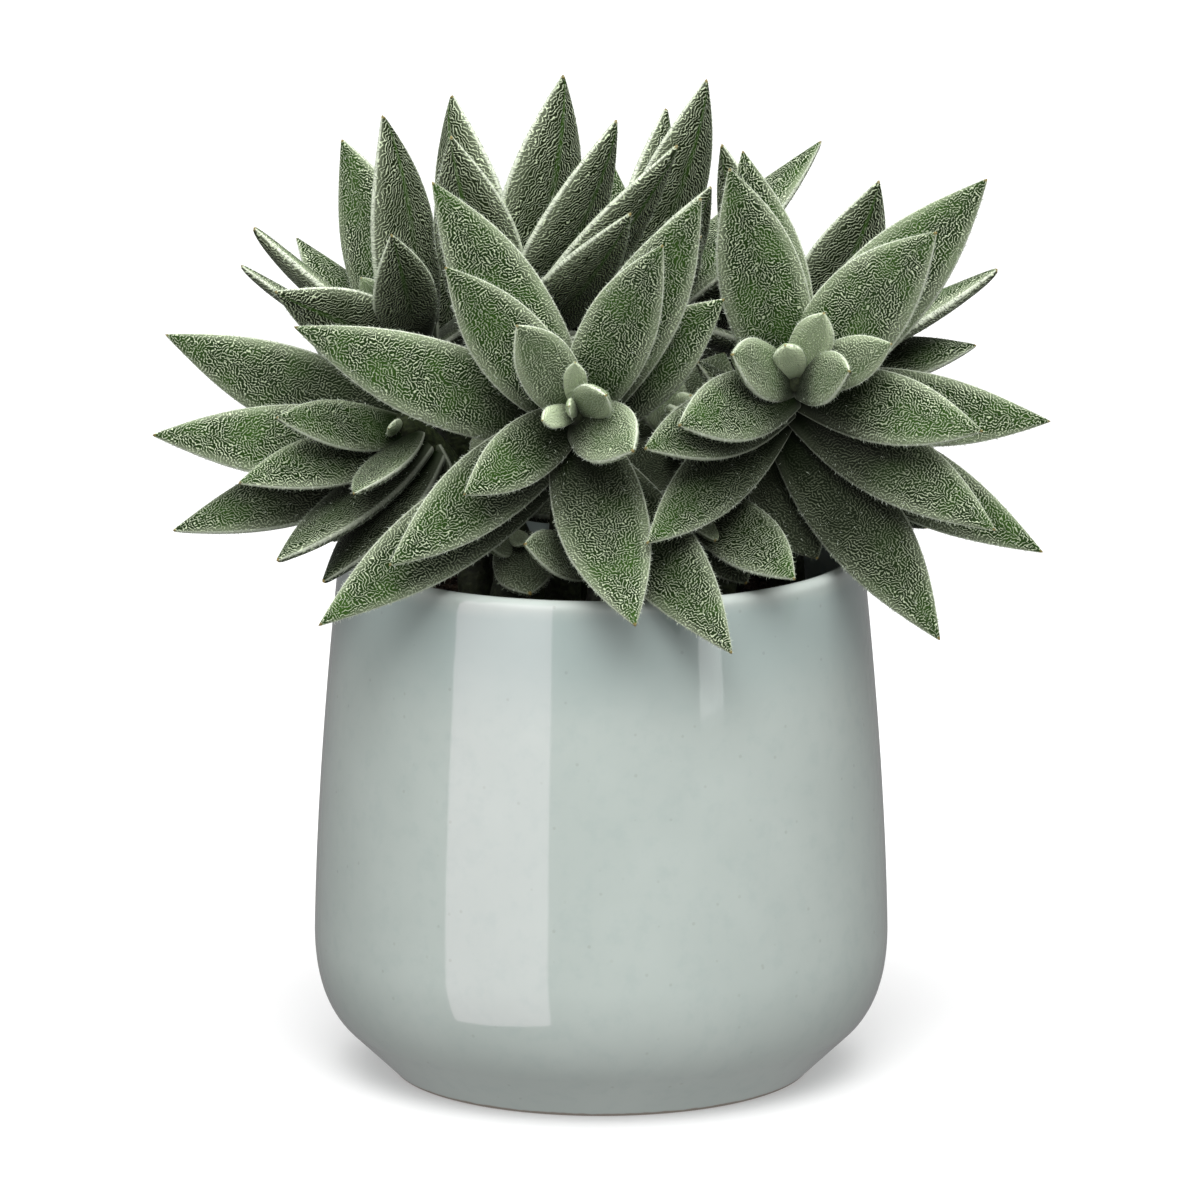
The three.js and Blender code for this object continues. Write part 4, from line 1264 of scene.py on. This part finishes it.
def glaze_finish():
    finish = Finish("celadon_glaze", roughness=0.10, coat_roughness=0.03, coat_weight=0.5)
    place = finish.place()
    height = finish.node("ShaderNodeSeparateXYZ", {}, {0: place}).also(2) * 1000
    mottle = finish.noise(place, 38, 4.0, 0.55)
    cloud = finish.noise(place, 260, 3.0, 0.6)
    wavy = height + (finish.noise(place, 45, 2.0) - 0.5) * 5
    # Darker under the lip: pooled glaze at first, then painted shadow of the leaves further down the wall.
    pool_and_shadow_band = finish.smooth(wavy, 82, 103) * finish.smooth(wavy, 109.5, 106.5)
    speck, luck = finish.grains(place, 420.0)
    iron = finish.smooth(speck, 0.10, 0.20, 1.0, 0.0) * finish.smooth(luck, 0.86, 0.93)
    bare = finish.smooth(height + (cloud - 0.5) * 0.8, 0.9, 0.5)
    colour = finish.covered(
        GLAZE,
        (GLAZE_THIN, finish.smooth(mottle, 0.35, 0.75, 0.0, 0.20)),
        (GLAZE_THICK_AND_SHADED, finish.smooth(cloud, 0.45, 0.75, 0.0, 0.22)),
        (GLAZE_THICK_AND_SHADED, pool_and_shadow_band * 0.8),
        (GLAZE_THIN, finish.smooth(height, 108.3, 110.3, 0.0, 0.55)),
        (IRON, iron * 0.18),
        (BARE_CLAY, bare),
    )
    finish.show("Base Color", colour)
    finish.show("Roughness", 0.08 + bare * 0.7)
    finish.show("Normal", finish.bump(finish.noise(place, 90, 2.0), 0.00012, 0.5))
    return finish.material


lathe_values = {"Points": len(section), "Columns": 160, "Material": glaze_finish()}
pot = lathe.grow("glazed_pot", section_line, lathe_values)
bpy.data.objects.remove(section_line)
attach(pot, "root")
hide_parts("pot")
print("faces of the pot:", len(pot.data.polygons))

# %% [markdown]
# ## The soil
#
# Potting soil is dark, crumbly peat with a few pale grains of grit. The packed soil keeps its shape and
# gets the finish of peat. Crumbs on top of it break up its smooth surface where it shows between the stems.
# Geometry Nodes scatter them too, as rough balls of twenty faces.

# %% Finish the soil
PEAT_WET, PEAT_DRY = (0.010, 0.006, 0.004), (0.050, 0.031, 0.019)
BARK, GRIT = (0.10, 0.075, 0.05), (0.30, 0.27, 0.22)


def soil_finish():
    finish = Finish("peat", roughness=0.95)
    place = finish.place()
    crumbs, luck = finish.grains(place, 520.0)
    colour = finish.covered(
        PEAT_WET,
        (PEAT_DRY, finish.smooth(finish.noise(place, 120, 3.0), 0.3, 0.7)),
        (BARK, finish.smooth(luck, 0.80, 0.86, 0.0, 0.6)),
        (GRIT, finish.smooth(luck, 0.972, 0.98, 0.0, 0.8)),
    )
    finish.show("Base Color", colour)
    finish.show("Normal", finish.bump(finish.noise(place, 900, 4.0, 0.6) - crumbs, 0.0012))
    return finish.material


peat = soil_finish()
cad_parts["soil"].material_slots[0].material = peat

# %% Scatter crumbs on the soil
CRUMB_SIZES = {"Crumbs_per_mm2": "Float", "Smallest": "Float", "Largest": "Float", "Seed": "Int"}
FLATTEST, FULLEST = (0.7, 0.7, 0.5), (1.2, 1.2, 0.9)
PATCH_RINGS, PATCH_SIDES = 10, 40


def crumb_tree():
    tree = Growth("crumbs", **CRUMB_SIZES)
    points = tree.sown(tree.given("Crumbs per mm2"))
    ball = tree.node("GeometryNodeMeshIcoSphere", {}, {"Radius": 0.5, "Subdivisions": 1})
    turn = tree.chance((0, 0, 0), (6.28, 6.28, 6.28))
    share = tree.chance(0.0, 1.0, 1)
    size = tree.given("Smallest") + (tree.given("Largest") - tree.given("Smallest")) * share * share * share
    return tree.end_with(points, ball, turn, tree.scaled(tree.chance(FLATTEST, FULLEST, 2), size))


def soil_patch():
    """The soil's crown as a ring of faces, a little inside the pot's wall."""
    radii = np.linspace(0.5, RIM_RADIUS - WALL - 1.4, PATCH_RINGS)[:, None]
    turn = even_turns(PATCH_SIDES)
    across, forward = radii * np.cos(turn), radii * np.sin(turn)
    skin = np.stack([across, forward, soil_top(radii) + 0 * turn], axis=-1).reshape(-1, 3)
    faces = [
        (r + i, r + PATCH_SIDES + i, r + PATCH_SIDES + (i + 1) % PATCH_SIDES, r + (i + 1) % PATCH_SIDES)
        for r in range(0, (PATCH_RINGS - 1) * PATCH_SIDES, PATCH_SIDES)
        for i in range(PATCH_SIDES)
    ]
    return new_mesh("patch", skin * MM, faces)


patch = soil_patch()
crumb_values = {
    "Crumbs per mm2": 0.30,
    "Smallest": 0.7 * MM,
    "Largest": 3.4 * MM,
    "Seed": 5,
    "Material": peat,
}
crumbs = crumb_tree().grow("soil_crumbs", patch, crumb_values)
bpy.data.objects.remove(patch)
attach(crumbs, "root")
print("crumbs:", len(crumbs.data.polygons) // 20)

# %% [markdown] ## Floor and light  The photograph was taken on a white ground in a soft tent of light. A
# white disc is the floor. A wide soft sun above and a soft light in front keep the shadow small and close
# to the foot. A tall window of light to the left is what the glaze mirrors as one upright stripe, and a
# small one low on the right is its glint. Those two are seen only in reflections.

# %% Lay the floor
FLOOR_RADIUS, FLOOR_SIDES = 2.4, 96
FLOOR_FINISH = {
    "base_color": (0.58, 0.58, 0.58, 1),
    "roughness": 0.9,
    "emission_color": (1, 1, 1, 1),
    "emission_strength": 0.30,
}

turn = even_turns(FLOOR_SIDES)
rim = np.column_stack([np.cos(turn), np.sin(turn), 0 * turn]) * FLOOR_RADIUS
floor = new_mesh("floor", rim, [list(range(FLOOR_SIDES))])
floor.data.materials.append(Finish("white_floor", **FLOOR_FINISH).material)
floor.visible_glossy = False
floor.visible_diffuse = False
floor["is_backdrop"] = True
print("floor:", 2 * FLOOR_RADIUS, "m across")

# %% Set the lights
def area_light(name, place, size, power, aim=(0, 0, 0.1), colour=(1, 1, 1)):
    data = bpy.data.lights.new(name, "AREA")
    data.shape = "RECTANGLE"
    data.size, data.size_y = size
    data.energy = power
    data.color = colour
    light = aimed(data, name, place, aim)
    light.visible_camera = False
    return light


def around(azimuth, distance, height):
    """A place at a distance from the pot's axis. Azimuth 0 is in front, and it grows towards the right."""
    turn = math.radians(azimuth)
    return (distance * math.sin(turn), -distance * math.cos(turn), height)


def tent_of_light(front, back, below):
    """Light from all round, stronger in front than behind, and stronger still from below."""
    world = bpy.data.worlds.new("tent")
    world.use_nodes = True
    sky = Graph(world.node_tree)
    x = sky.node("ShaderNodeSeparateXYZ", {}, {0: sky.node("ShaderNodeTexCoord", {}, {}, "Generated")})
    strength = sky.smooth(x.also(1), 0.8, -0.9, back, front) * sky.smooth(x.also(2), -1.0, -0.30, below, 1.0)
    background = world.node_tree.nodes["Background"]
    sky.feed(background.inputs["Strength"], strength)
    background.inputs["Color"].default_value = (1, 1, 1, 1)
    return world


bpy.context.scene.world = tent_of_light(front=0.48, back=0.26, below=1.8)

above_data = bpy.data.lights.new("above", "SUN")
above_data.energy = 4.2
above_data.angle = math.radians(70)
above = aimed(above_data, "above", (0, -0.5, 1.6), (0, 0, 0))
above.visible_glossy = False
front = area_light("front", (0, -1.7, 1.9), (1.2, 1.2), 24)
front.visible_glossy = False
stripe = area_light("stripe", around(-42, 1.2, 0.36), (0.945, 2.1), 13, (0, 0, 0.36), (1, 0.85, 0.93))
stripe.visible_diffuse = False
glint = area_light("glint", around(46, 1.2, 0.08), (0.22, 0.12), 0.16, (0, 0, 0.08))
glint.visible_diffuse = False
bpy.context.scene.view_settings.view_transform = "Standard"

# %% [markdown]
# ## The last test
#
# The dressed model has to keep the size of the packed one. Its box is compared with the packed one's,
# and how far it reaches outside is printed.

# %% Compare the boxes and finish
own_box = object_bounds()
over = max(max(c - v, w - d) for (c, d), (v, w) in zip(zip(*cad_box), zip(*own_box)))
print("furthest outside the packed box:", round(over / MM, 3), "mm")
